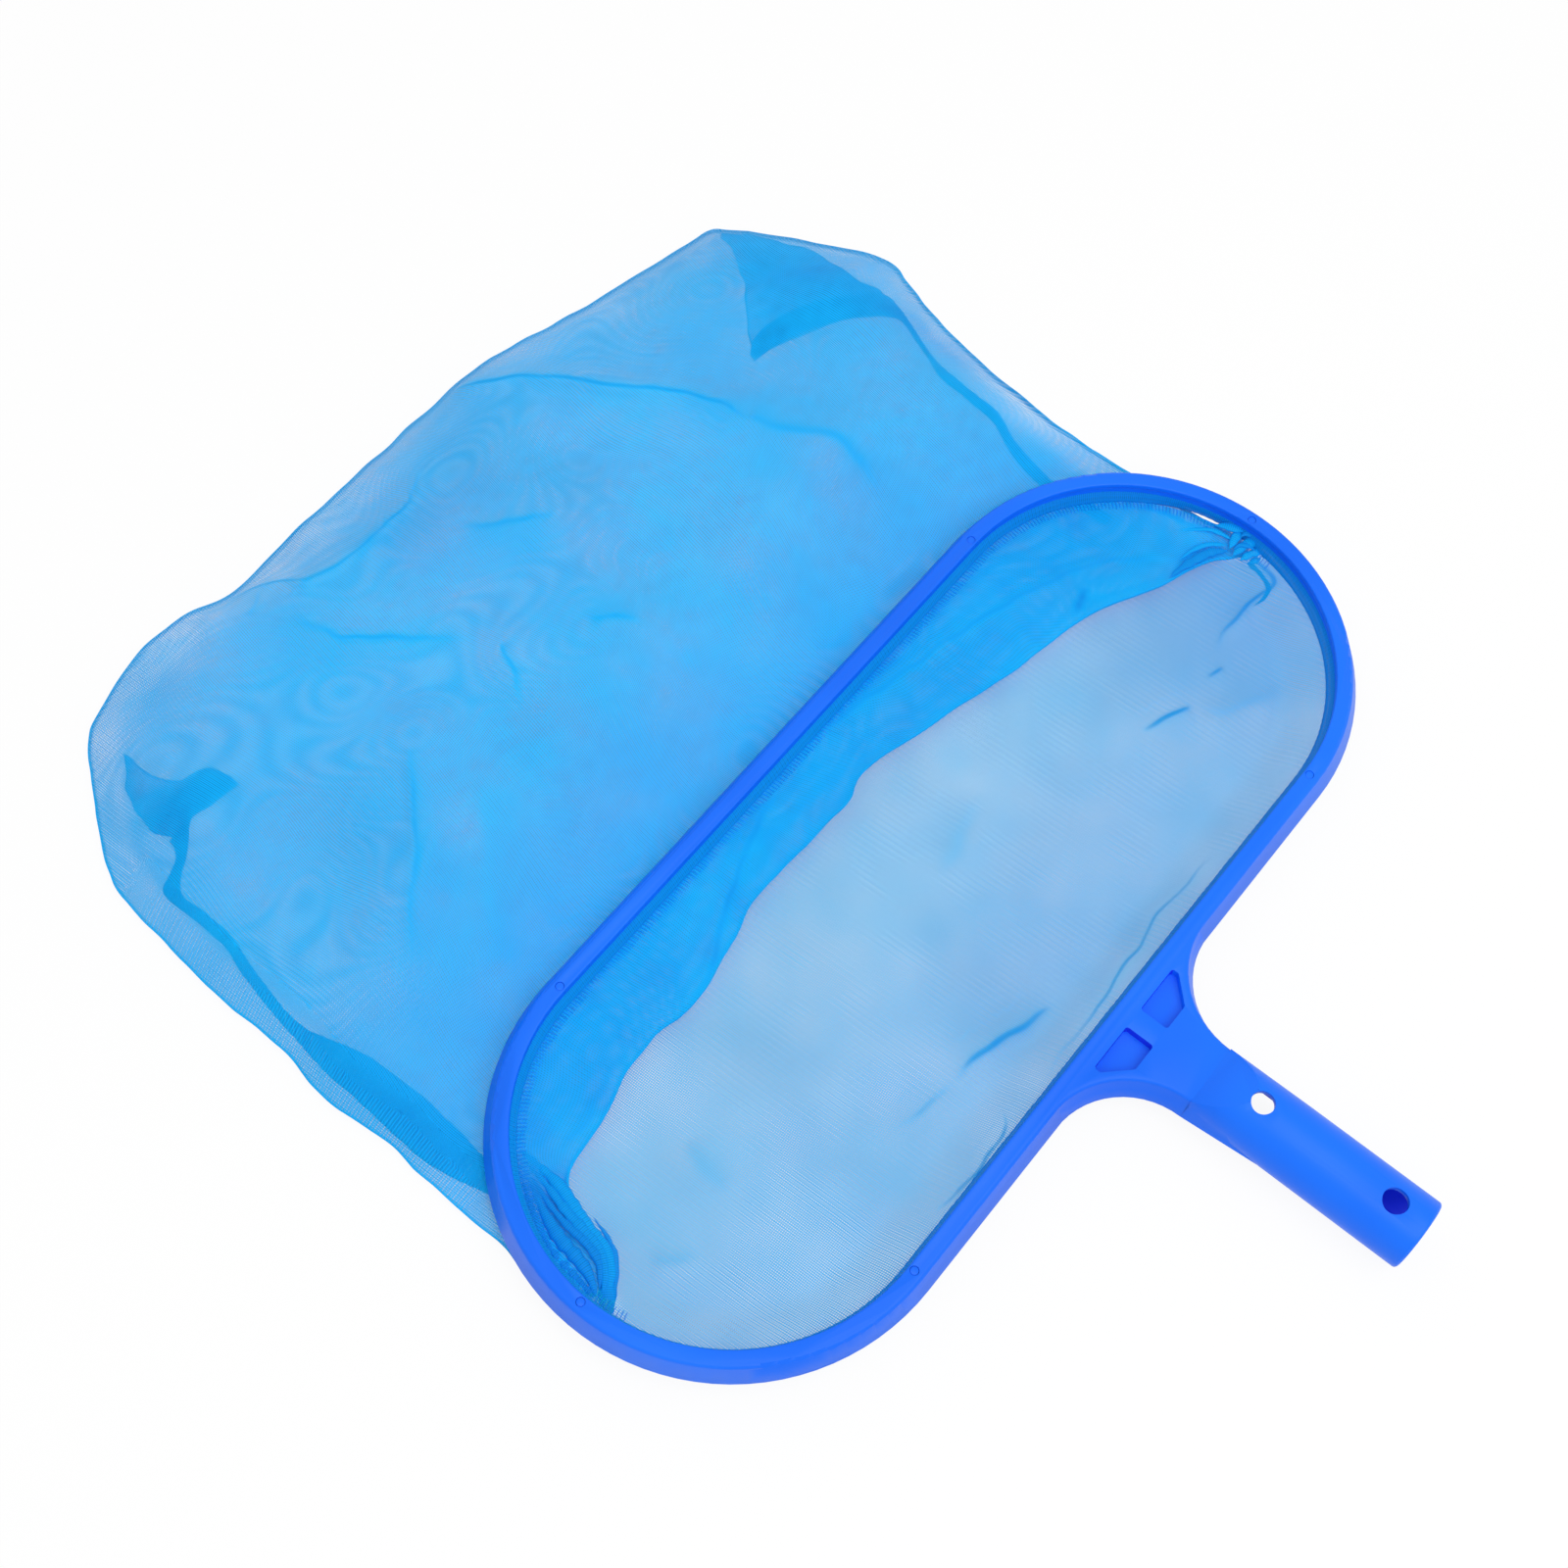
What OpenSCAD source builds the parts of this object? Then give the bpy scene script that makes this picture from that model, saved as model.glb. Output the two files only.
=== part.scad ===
// Leaf skimmer net: a long oval ring with a short tubular handle, and a soft
// net bag that hangs from a hoop clipped into the ring's underside.
// Lengths are millimetres. The part lies mouth up on the floor at z = 0, the
// handle points to -Y and the bag lies out to +Y.

/* [Ring] */
// Straight length of each long bar
bar_len = 255; // [180:1:340]
// Outer radius of the round ends, at the top edge
end_r = 87.8; // [70:0.1:110]
// Width from the mouth edge to the outer top edge
ring_w = 6.8; // [6:0.1:10]
// Height of the ring
ring_h = 10; // [9:0.1:16]
// How far the outer wall leans out at its foot
ring_draft = 3.2; // [2.6:0.1:4]
// Radius on the outer top edge
ring_round = 1.8; // [1:0.1:2.4]
// Thickness of the top plate and of the web
plate_t = 2.5; // [1.8:0.1:3]
// Thickness of the outer wall
wall_t = 2.2; // [1.6:0.1:2.4]

/* [Yoke] */
// Radius of the concave sweep from ring to handle
neck_r = 36; // [24:0.5:44]
// Half width of the neck at the handle
neck_half = 13.4; // [12:0.1:13.6]
// Depth of the two recessed pockets
pocket_depth = 4.5; // [2:0.1:5]
// Length of a pocket along the bar
pocket_len = 21; // [12:0.1:24]
// Size of a pocket across the bar
pocket_w = 12.2; // [8:0.1:14]
// Width of the rib between the pockets
rib_w = 8.8; // [5:0.1:14]
// Distance of the pockets from the ring's outer top edge
pocket_inset = 0.8; // [0.5:0.1:3]
// Corner radius of a pocket
pocket_round = 1.2; // [0.6:0.1:2]
// Floor and wall thickness round a pocket, and of the rib between them
pocket_wall = 2; // [1.4:0.1:3]

/* [Handle] */
// Outer diameter of the handle tube
handle_d = 29; // [27:0.1:32]
// Bore of the handle tube
handle_bore = 23.4; // [20:0.1:24.4]
// Distance from the ring's outer bar edge to the handle's end
handle_reach = 128.2; // [110:0.1:180]
// Height of the ring's top face over the handle's axis
axis_drop = 5.1; // [4:0.1:6]
// Length of the handle that is a full round tube
round_len = 58; // [40:0.5:62]
// Length of the ramp from the web up to the tube's top
ramp_len = 17.5; // [12:0.5:24]
// Diameter of the button hole near the handle's end
end_hole_d = 10; // [6:0.1:11]
// Distance of that hole from the handle's end
end_hole_inset = 14.5; // [10:0.1:25]
// Diameter of the second button hole
yoke_hole_d = 9; // [6:0.1:10]
// Distance between the two button holes
hole_pitch = 57; // [48:0.1:60]
// Radius on the outer edge of the handle's end
end_round = 1.5; // [0.5:0.1:2]

/* [Hoop and hem] */
// Width of the hoop
hoop_w = 4; // [3:0.1:4]
// Height of the hoop
hoop_h = 6; // [4:0.1:6]
// Diameter of the hoop's six posts
post_d = 3.2; // [2:0.1:3.4]
// Gap all round a post in its hole
post_gap = 0.15; // [0.1:0.01:0.2]
// Thickness of the doubled hem round the hoop
hem_t = 0.4; // [0.2:0.05:0.5]
// Gap between the hem and its neighbours
hem_gap = 0.05; // [0.02:0.01:0.1]

/* [Net bag] */
// How far the bag's sides lie inside the ring's ends
bag_side = 3.3; // [2:0.1:20]
// Distance from the ring's centre to the bag's far edge
bag_reach = 305; // [220:1:360]
// Radius of the bag's far corners
bag_corner = 70; // [30:1:80]
// Height of the bag's crown over the floor
bag_crown = 36; // [22:1:60]
// Distance from the bag's edge over which it fills out to the crown
fill_len = 92; // [60:1:110]
// Height of the broad folds across the bag, over the crown
ridge_h = 5; // [0:0.5:8]
// How far a broad fold reaches to each side
ridge_w = 20; // [14:1:30]
// Thickness of the net as a solid sheet
net_t = 0.5; // [0.3:0.1:0.8]
// Distance of the tuck's fold line from the ring's centre
tuck_reach = 56; // [30:1:64]
// Height of the tuck's lower side over the floor
tuck_z = 6; // [4:0.1:7]
// Length over which the bag climbs from the ring to its crown
rise_len = 60; // [40:1:90]

/* [Seams] */
// Width of a side seam's allowance
seam_w = 9; // [5:0.5:12]
// Thickness of the folded seam allowance
seam_t = 1; // [0.6:0.1:1.4]
// How far the side seams lie inside the bag's edge
seam_inset = 13; // [10:0.5:18]
// Radius of the bend at a seam's far end
seam_bend = 30; // [20:0.5:36]
// Width of a row of stitches
thread_w = 1; // [0.6:0.1:2]
// Height of a row of stitches
thread_t = 0.3; // [0.2:0.05:0.5]
// Size of a folded far corner
corner_fold = 42; // [25:1:55]
// Radius of the gathered bunches at the mouth's ends
gather_r = 4; // [2.5:0.1:4.4]
// Length of a gathered bunch
gather_len = 15; // [10:0.5:24]
// Number of folds in a gathered bunch
gather_folds = 3; // [2:1:6]

/* [Hidden] */
$fn = 96;

plastic_blue = "#2478fb";
net_blue = "#45aeea";
seam_blue = "#0f8fe8";

eps = 0.01;
over = 1;
// overlap of the neck's sweep with the bar
neck_bite = 0.15;
// how much the handle's radius tapers along its open root
root_taper = 0.3;
// gap between the hem and the top plate
plate_gap = 0.45;
// gap between sheets that lie on each other
sheet_gap = 0.1;

// ring section, as radius and height under the top face
mouth_r = end_r - ring_w;
foot_r = end_r + ring_draft;
ring_lean = ring_draft / (ring_h - ring_round);
bar_half = bar_len / 2;
handle_r = handle_d / 2;
bore_r = handle_bore / 2;
ring_top = handle_r + axis_drop;

// positions along Y, from the ring's centre
handle_end = -end_r - handle_reach;
end_hole_y = handle_end + end_hole_inset;
yoke_hole_y = end_hole_y + hole_pitch;
round_end_y = handle_end + round_len;
neck_x = neck_half + neck_r;
neck_y = -end_r - neck_r + neck_bite;
ramp_top_y = neck_y - ramp_len;
bore_end_y = max(yoke_hole_y + yoke_hole_d / 2 + over, ramp_top_y + over);
mid_y = (bag_reach + handle_end) / 2;

// hoop, under the flat of the top plate
hoop_in = mouth_r + hem_t + 2 * hem_gap;
hoop_top = -plate_t - plate_gap - hem_t - hem_gap;
hoop_foot = hoop_top - hoop_h;
post_r = hoop_in + hoop_w / 2;
hem_foot = ring_top + hoop_foot - hem_gap - hem_t;

// ------------------------------------------------------------ placing

// moves a shape from the ring's frame, z = 0 at its top face, to the floor
module from_ring() {
    translate([0, -mid_y, ring_top]) children();
}

// moves a shape that already stands on the floor
module from_floor() {
    translate([0, -mid_y, 0]) children();
}

// sweeps a section round the oval: x is the radius, y is the height
module round_oval() {
    for (side = [-1, 1]) {
        translate([side * bar_half, 0, 0])
            rotate([0, 0, side * -90])
                rotate_extrude(angle = 180)
                    children();
        mirror([0, side < 0 ? 1 : 0, 0])
            rotate([90, 0, 90])
                linear_extrude(bar_len, center = true)
                    children();
    }
}

// puts a copy at each of the hoop's posts
module at_posts() {
    for (side = [-1, 1]) {
        for (edge = [-1, 1])
            translate([side * bar_half, edge * post_r, 0])
                children();
        translate([side * (bar_half + post_r), 0, 0])
            children();
    }
}

// a straight-sided outline whose corners, given by their centres, are round
module round_cornered(centres, r) {
    n = len(centres);
    sides = [for (i = [0:n - 1]) let (
        a = centres[i],
        b = centres[(i + 1) % n],
        d = (b - a) / norm(b - a),
        out = [d[1], -d[0]] * r
    ) each [a + out, b + out]];
    polygon(sides);
    for (c = centres)
        translate(c) circle(r);
}

// ------------------------------------------------------------ frame

// radius of the outer wall's inner face at a height
function wall_inner(z) = end_r - ring_lean * (z + ring_round) - wall_t;

// top plate with a rounded outer edge, over a wall that leans out
module ring_section() {
    polygon([
        [mouth_r, 0],
        [end_r - ring_round, 0],
        [end_r - ring_round, -ring_round],
        [end_r, -ring_round],
        [foot_r, -ring_h],
        [foot_r - wall_t, -ring_h],
        [wall_inner(-plate_t), -plate_t],
        [mouth_r, -plate_t]
    ]);
    translate([end_r - ring_round, -ring_round]) circle(ring_round);
}

// room for the hoop under the top plate
module channel_section() {
    polygon([
        [end_r - ring_round - 2 * over, -plate_t],
        [wall_inner(-plate_t), -plate_t],
        [foot_r - wall_t, -ring_h],
        [foot_r - wall_t, -ring_h - over],
        [end_r - ring_round - 2 * over, -ring_h - over]
    ]);
}

// one pocket on the +X side, grown by a wall all round
module pocket_outline(grow) {
    x0 = rib_w / 2 + pocket_round;
    x1 = rib_w / 2 + pocket_len - pocket_round;
    y0 = -end_r - pocket_inset - pocket_round;
    y1 = y0 + 2 * pocket_round - pocket_w;
    slant = pocket_w - 3 * pocket_round;
    round_cornered([
        [x0, y0], [x0, y1], [x1 - slant, y1],
        [x1, y0 - pocket_round], [x1, y0]
    ], pocket_round + grow);
}

module both_sides() {
    children();
    mirror([1, 0, 0]) children();
}

// a block across the middle, from one y back to another
module web_block(y_from, y_to, half, z_foot, z_top) {
    translate([-half, y_to, z_foot])
        cube([2 * half, y_from - y_to, z_top - z_foot]);
}

// radius of the neck's concave wall at a height, in step with the ring's draft
function neck_wall(z) = neck_r + ring_lean * (z + ring_round);

// cuts the neck's concave sides, with the ring's draft and rounded edge
module neck_cutters() {
    edge = [for (a = [0:22.5:67.5]) [
        neck_r + ring_round * (1 - cos(a)),
        ring_round * (sin(a) - 1)
    ]];
    both_sides()
        translate([neck_x, neck_y, 0])
            rotate_extrude()
                polygon(concat(
                    [[0, over], [0, -ring_h - over], [neck_wall(-ring_h - over), -ring_h - over]],
                    edge,
                    [[neck_r + ring_round, 0], [neck_r + 2 * ring_round, over]]
                ));
}

module web_solid() {
    difference() {
        web_block(-end_r + ring_round + over, neck_y, neck_x, -ring_h, 0);
        neck_cutters();
    }
}

// sides that fair the neck's wide foot into the tube
module neck_fairing() {
    tilt = atan(ring_lean);
    tube_half = sqrt(handle_r * handle_r - pow(ring_h - axis_drop, 2));
    taper = atan2(neck_half + ring_draft - tube_half, neck_y - round_end_y);
    difference() {
        web_block(neck_y, round_end_y, neck_half + ring_draft + over, -ring_h, -ring_round);
        both_sides()
            translate([neck_half, neck_y, -ring_round])
                rotate([0, -tilt, 0])
                    rotate([0, 0, -taper])
                        translate([0, -handle_reach, -handle_reach / 2])
                            cube(handle_reach + over);
    }
}

// the web is open underneath, with a thick floor at the pockets and a rib
module web_hollow() {
    pocket_end = -end_r - pocket_inset - pocket_w - pocket_wall;
    difference() {
        union() {
            web_block(-foot_r - pocket_wall / 2, pocket_end - over, neck_x - over,
                      -ring_h - over, -pocket_depth - pocket_wall);
            web_block(pocket_end, neck_y, neck_x - over, -ring_h - over, -plate_t);
        }
        both_sides()
            translate([neck_x, neck_y, -ring_h - 2 * over])
                cylinder(h = ring_h + 2 * over,
                         r1 = neck_wall(-ring_h - 2 * over) + wall_t,
                         r2 = neck_wall(0) + wall_t);
        web_block(-end_r, neck_y + neck_r / 3, pocket_wall / 2, -ring_h, 0);
    }
    web_block(neck_y + over, bore_end_y - over, neck_half - wall_t, -ring_h - over, -plate_t);
}

// the handle tube's outside, rounded at its free end and tapered along its root
module tube_body() {
    translate([0, handle_end, -axis_drop])
        rotate([-90, 0, 0])
            rotate_extrude() {
                square([handle_r - end_round, end_round + eps]);
                translate([0, end_round])
                    square([handle_r, round_len - end_round]);
                polygon([
                    [0, round_len - over],
                    [handle_r, round_len - eps],
                    [handle_r, round_len],
                    [handle_r - root_taper, neck_y - handle_end],
                    [0, neck_y - handle_end]
                ]);
                intersection() {
                    translate([handle_r - end_round, end_round]) circle(end_round);
                    square(handle_r);
                }
            }
}

// wedge over the ramp that climbs from the web to the tube's top
module ramp_cutter() {
    slope = atan2(handle_r - axis_drop, ramp_len);
    translate([-handle_r - over, neck_y, 0])
        rotate([-slope, 0, 0])
            translate([0, -2 * ramp_len, 0])
                cube([handle_d + 2 * over, 4 * ramp_len, handle_d]);
}

// beyond its full round length the tube is cut level with the ring's foot
module tube_solid() {
    difference() {
        tube_body();
        ramp_cutter();
        web_block(neck_y + over, round_end_y, handle_r + over, -ring_h - handle_d, -ring_h);
    }
}

module frame() {
    color(plastic_blue)
    from_ring()
    difference() {
        union() {
            round_oval() ring_section();
            web_solid();
            neck_fairing();
            tube_solid();
        }
        round_oval() channel_section();
        web_hollow();
        translate([0, bore_end_y, -axis_drop])
            rotate([90, 0, 0])
                cylinder(h = bore_end_y - handle_end + over, r = bore_r);
        both_sides()
            translate([0, 0, -pocket_depth])
                linear_extrude(pocket_depth + over)
                    pocket_outline(0);
        translate([0, end_hole_y, -ring_top - over])
            cylinder(h = ring_top + handle_d, d = end_hole_d);
        translate([0, yoke_hole_y, -axis_drop])
            cylinder(h = handle_d, d = yoke_hole_d);
        at_posts()
            translate([0, 0, -plate_t - over])
                cylinder(h = plate_t + 2 * over, d = post_d + 2 * post_gap);
    }
}

// ------------------------------------------------------------ hoop and hem

module hoop() {
    color(plastic_blue)
    from_ring() {
        round_oval()
            translate([hoop_in, hoop_foot])
                square([hoop_w, hoop_h]);
        at_posts()
            translate([0, 0, hoop_top - eps])
                cylinder(h = -hoop_top - post_gap, d = post_d);
    }
}

module hem_sleeve() {
    color(seam_blue)
    from_ring()
    difference() {
        round_oval()
            difference() {
                translate([hoop_in - hem_gap - hem_t, hoop_foot - hem_gap - hem_t])
                    square([hoop_w + 2 * (hem_gap + hem_t), hoop_h + 2 * (hem_gap + hem_t)]);
                translate([hoop_in - hem_gap, hoop_foot - hem_gap])
                    square([hoop_w + 2 * hem_gap, hoop_h + 2 * hem_gap]);
            }
        at_posts()
            translate([0, 0, hoop_top - over])
                cylinder(h = 3 * over, d = post_d + 2 * post_gap);
    }
}

module hem_thread() {
    color(net_blue)
    from_ring()
        round_oval()
            translate([hoop_in - hem_gap - hem_t - thread_t, hoop_foot + thread_w])
                square([thread_t, thread_w]);
}

// ------------------------------------------------------------ net sheets

function mix(a, b, k) = a * (1 - k) + b * k;
function ease(k) = let (c = min(1, max(0, k))) c * c * (3 - 2 * c);

// falls from 1 in the middle to 0 at the ends, the later the higher the power
function fade(k, power) = 1 - pow(abs(k), power);

// half of the mouth's oval at a radius: s runs from -1 to 1 along its length
function oval_half(s, r) = let (
    arc = PI / 2 * r,
    run = abs(s) * (bar_half + arc) - bar_half,
    turn = max(0, run) / r * 180 / PI,
    x = bar_half + min(0, run) + r * sin(turn)
) [sign(s) * x, r * cos(turn)];

// the bag's far edge, from one side over both corners to the other
function far_edge(s, inset) = let (
    r = bag_corner,
    half = bag_half - inset - r,
    arc = PI / 2 * r,
    run = abs(s) * (half + arc) - half,
    turn = max(0, run) / r * 180 / PI,
    x = half + min(0, run) + r * sin(turn)
) [sign(s) * x, bag_reach - inset - r + r * cos(turn)];

function lift(p, z) = [p[0], p[1], z];

// normal of a grid of points at row i, column j
function grid_normal(g, i, j) = let (
    rows = len(g) - 1,
    cols = len(g[0]) - 1,
    along = g[min(rows, i + 1)][j] - g[max(0, i - 1)][j],
    across = g[i][min(cols, j + 1)] - g[i][max(0, j - 1)],
    n = cross(across, along)
) n / norm(n);

// closed sheet of even thickness on a grid of points
module sheet(g, t) {
    rows = len(g);
    cols = len(g[0]);
    top = [for (i = [0:rows - 1]) for (j = [0:cols - 1])
        g[i][j] + grid_normal(g, i, j) * t / 2];
    foot = [for (i = [0:rows - 1]) for (j = [0:cols - 1])
        g[i][j] - grid_normal(g, i, j) * t / 2];
    n = rows * cols;
    skin = [for (i = [0:rows - 2]) for (j = [0:cols - 2]) let (
        a = i * cols + j,
        b = a + 1,
        c = a + cols,
        d = c + 1
    ) each [[a, c, b], [b, c, d], [n + a, n + b, n + c], [n + b, n + d, n + c]]];
    ends = [for (j = [0:cols - 2]) let (
        a = j,
        c = (rows - 1) * cols + j
    ) each [[a, a + 1, n + a], [a + 1, n + a + 1, n + a],
            [c, n + c, c + 1], [c + 1, n + c, n + c + 1]]];
    sides = [for (i = [0:rows - 2]) let (
        a = i * cols,
        b = a + cols - 1
    ) each [[a, n + a, a + cols], [a + cols, n + a, n + a + cols],
            [b, b + cols, n + b], [b + cols, n + b + cols, n + b]]];
    polyhedron(points = concat(top, foot), faces = concat(skin, ends, sides));
}

sheet_cols = 32;
// share of the mouth's half oval that a net reaches at each end
edge_share = 0.965;
mouth_z = hem_foot - net_t;
net_r = mouth_r + hem_t;
bag_half = bar_half + end_r - bag_side;
// length over which the lower net drops to the floor
drop_len = 22;

// lower net: from the handle side of the mouth down to the floor and out
function lower_row(k) = [for (j = [0:sheet_cols]) let (
    s = 2 * j / sheet_cols - 1,
    m = oval_half(s * edge_share, net_r),
    from = [m[0], -m[1]],
    to = far_edge(s, 0),
    p = mix(from, to, k)
) lift(p, net_t / 2 + (mouth_z - net_t / 2) * (1 - ease(norm(p - from) / drop_len)))];

module net_lower() {
    steps = [0, 0.012, 0.024, 0.036, 0.05, 0.065, 0.09, 0.2, 0.4, 0.6, 0.8, 1];
    color(net_blue)
    from_floor()
        sheet([for (k = steps) lower_row(k)], net_t);
}

// the upper net: height at its rim, radius of the tuck and margin inside the mouth
rim_z = net_t * 1.5 + sheet_gap;
tuck_round = 0.9;
tuck_margin = 5;
// how full the bag and its tuck stay towards their ends
fill_power = 2.6;
rim_power = 8;
tuck_power = 2.4;
// ends of the broad folds, as shares of the bag's half width and reach
ridge_lines = [
    [[0.217, 0.959], [0.561, 0.474]],
    [[-0.410, 0.933], [-0.207, 0.641]],
    [[-0.755, 0.418], [-0.439, 0.615]],
    [[-0.057, 0.785], [0.212, 0.638]]
];

function tuck_point(s) = let (
    m = oval_half(s * edge_share, net_r),
    bow = tuck_reach * fade(m[0] / (bar_half + end_r), tuck_power),
    draw = sign(s) * tuck_margin * pow(abs(s), rim_power)
) [m[0] - draw, min(bow, m[1] - tuck_margin * fade(s, rim_power))];

// distance of a point from the bag's edge, inwards
function rim_gap(p) = let (
    side = bag_half - abs(p[0]),
    far = bag_reach - p[1],
    turn = [bag_corner - side, bag_corner - far]
) min(turn) > 0 ? bag_corner - norm(turn) : min(side, far);

// distance of a point outside the ring, from where the bag starts to climb
function ring_gap(p) = norm([max(0, abs(p[0]) - bar_half), p[1]]) - foot_r - tuck_margin;

function fullness(p) = 1 - pow(1 - min(1, max(0, rim_gap(p) / fill_len)), fill_power);

// height that a broad fold from a to b adds at a point
function ridge(p, a, b) = let (
    along = b - a,
    k = min(1, max(0, (p - a) * along / (along * along))),
    off = norm(p - a - k * along)
) ridge_h * exp(-pow(off / ridge_w, 2));

function ridges(p) = max([for (r = ridge_lines) ridge(
    p,
    [r[0][0] * bag_half, r[0][1] * bag_reach],
    [r[1][0] * bag_half, r[1][1] * bag_reach]
)]) * ease(rim_gap(p) / ridge_w);

function upper_z(s, k, p) = rim_z
    + (tuck_z - rim_z) * fade(s, rim_power) * fade(k, rim_power)
    + ((bag_crown - tuck_z) * fullness(p) + ridges(p)) * ease(ring_gap(p) / rise_len);

// upper net: in from the far side of the mouth, round the tuck and out again
function upper_column(s) = let (
    from = oval_half(s * edge_share, net_r),
    fold = tuck_point(s),
    into = (fold - from) / norm(fold - from),
    to = far_edge(s, 1),
    low = upper_z(s, 0, [0, 0]),
    r = min(tuck_round, (mouth_z - low) / 2 - net_t),
    roof = low + 2 * r
) concat(
    [for (k = [0, 0.3, 0.65, 1]) lift(mix(from, fold, k), mix(mouth_z, roof, ease(k)))],
    [for (a = [50, 0, -50]) lift(fold + into * r * cos(a), low + r + r * sin(a))],
    [for (k = [0, 0.06, 0.13, 0.2, 0.28, 0.36, 0.44, 0.52, 0.6, 0.68, 0.76, 0.84, 0.91, 0.97, 1]) let (
        p = mix(fold, to, k)
    ) lift(p, upper_z(s, k, p))]
);

module net_upper() {
    columns = [for (j = [0:sheet_cols]) upper_column(2 * j / sheet_cols - 1)];
    rows = len(columns[0]);
    grid = [for (i = [0:rows - 1]) [for (c = columns) c[i]]];
    color(net_blue)
    from_floor()
        sheet(grid, net_t);
}

// ------------------------------------------------------------ seams

seam_x = bag_half - seam_inset;
seam_z = net_t + sheet_gap;
corner_y = bag_reach - bag_corner - seam_inset;
seam_route = concat(
    [[seam_x, mouth_r / 2]],
    [for (a = [0:16:80]) [
        seam_x - seam_bend * (1 - cos(a)),
        corner_y - seam_bend * (1 - sin(a))
    ]]
);

// a flat band of even width along a route
module band(route, w) {
    n = len(route);
    side = [for (i = [0:n - 1]) let (
        d = route[min(n - 1, i + 1)] - route[max(0, i - 1)],
        u = d / norm(d)
    ) [-u[1], u[0]] * w / 2];
    polygon(concat(
        [for (i = [0:n - 1]) route[i] + side[i]],
        [for (i = [n - 1:-1:0]) route[i] - side[i]]
    ));
}

module seam_band() {
    color(seam_blue)
    from_floor()
    translate([0, 0, seam_z])
        linear_extrude(seam_t)
            band(seam_route, seam_w);
}

module seam_thread() {
    color(net_blue)
    from_floor()
    translate([0, 0, seam_z + seam_t])
        linear_extrude(thread_t)
            band(seam_route, thread_w);
}

module corner_flap() {
    color(seam_blue)
    from_floor()
    translate([seam_x - seam_bend, corner_y + seam_w, seam_z])
        linear_extrude(seam_t)
            polygon([[-corner_fold / 2, 0], [corner_fold / 2, 0], [0, corner_fold / 2]]);
}

// a bunch of gathered net, drawn in between its folds
gather_waist = 0.75 * gather_r;
gather_end = gather_r / 2;
module gather() {
    pitch = gather_len / gather_folds;
    color(seam_blue)
    from_floor()
    translate([bar_half + net_r - gather_r - tuck_margin, 0, seam_z + gather_r])
        rotate([0, -90, 0])
            rotate_extrude()
                polygon(concat(
                    [[0, 0]],
                    [for (i = [0:gather_folds - 1]) each [
                        [i == 0 ? gather_end : gather_waist, i * pitch],
                        [gather_r, (i + 0.5) * pitch]
                    ]],
                    [[gather_end, gather_len], [0, gather_len]]
                ));
}

module seam_right() { seam_band(); }
module seam_left() { mirror([1, 0, 0]) seam_band(); }
module seam_thread_right() { seam_thread(); }
module seam_thread_left() { mirror([1, 0, 0]) seam_thread(); }
module corner_fold_right() { corner_flap(); }
module corner_fold_left() { mirror([1, 0, 0]) corner_flap(); }
module gather_right() { gather(); }
module gather_left() { mirror([1, 0, 0]) gather(); }

frame();
hoop();
hem_sleeve();
hem_thread();
net_upper();
net_lower();
seam_left();
seam_right();
seam_thread_left();
seam_thread_right();
corner_fold_left();
corner_fold_right();
gather_left();
gather_right();
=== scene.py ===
import math

import bmesh
import bpy
import numpy as np
from mathutils import Matrix, Vector


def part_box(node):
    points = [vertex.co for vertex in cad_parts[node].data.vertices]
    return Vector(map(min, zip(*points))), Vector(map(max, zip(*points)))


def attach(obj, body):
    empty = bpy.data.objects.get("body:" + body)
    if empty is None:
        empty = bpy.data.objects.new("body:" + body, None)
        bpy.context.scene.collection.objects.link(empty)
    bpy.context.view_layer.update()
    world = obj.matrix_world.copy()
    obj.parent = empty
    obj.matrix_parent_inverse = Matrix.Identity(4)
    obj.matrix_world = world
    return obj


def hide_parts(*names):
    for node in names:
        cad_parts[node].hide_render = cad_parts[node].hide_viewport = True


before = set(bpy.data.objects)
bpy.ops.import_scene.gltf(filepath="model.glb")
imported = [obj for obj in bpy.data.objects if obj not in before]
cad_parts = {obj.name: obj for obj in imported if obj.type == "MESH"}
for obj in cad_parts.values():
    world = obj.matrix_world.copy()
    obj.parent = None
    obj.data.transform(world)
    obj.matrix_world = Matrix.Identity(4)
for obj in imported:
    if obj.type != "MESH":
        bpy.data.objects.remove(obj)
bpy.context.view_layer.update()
scene = bpy.context.scene
mm = 0.001  # lengths in the tables below are millimetres, Blender's are metres


# camera, lights and floor

cameraPlace = {
    "at": (-0.3247, -0.1909, 0.8132), "azimuth": -54.40, "elevation": 64.41, "roll": 4.02,
    "lens": 51.99, "shiftX": 0.0104, "shiftY": 0.0052,
}

studio = {
    "worldStrength": 0.66, "worldColor": (1.0, 1.0, 1.0, 1),
    "keyAt": (-0.14, -0.60, 1.30), "keySize": 1.5, "keyPower": 10.8,
    "fillAt": (0.5, 0.9, 1.0), "fillSize": 1.2, "fillPower": 1.2,
    "floorSize": 6.0, "floorDrop": 0.0004, "floorColor": (0.93, 0.93, 0.93, 1), "shadowShare": 0.09,
}


def fill(tree, node, inputs):
    # each input takes a value or the output of another node
    for key, value in inputs.items():
        if hasattr(value, "links"):
            tree.links.new(value, node.inputs[key])
        else:
            node.inputs[key].default_value = value


def put(tree, kind, inputs=None, **settings):
    node = tree.nodes.new(kind)
    for key, value in settings.items():
        setattr(node, key, value)
    fill(tree, node, inputs or {})
    return node


def mathNode(tree, kind, *values, clamp=False):
    inputs = dict(enumerate(values))
    return put(tree, "ShaderNodeMath", inputs, operation=kind, use_clamp=clamp).outputs[0]


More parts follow.
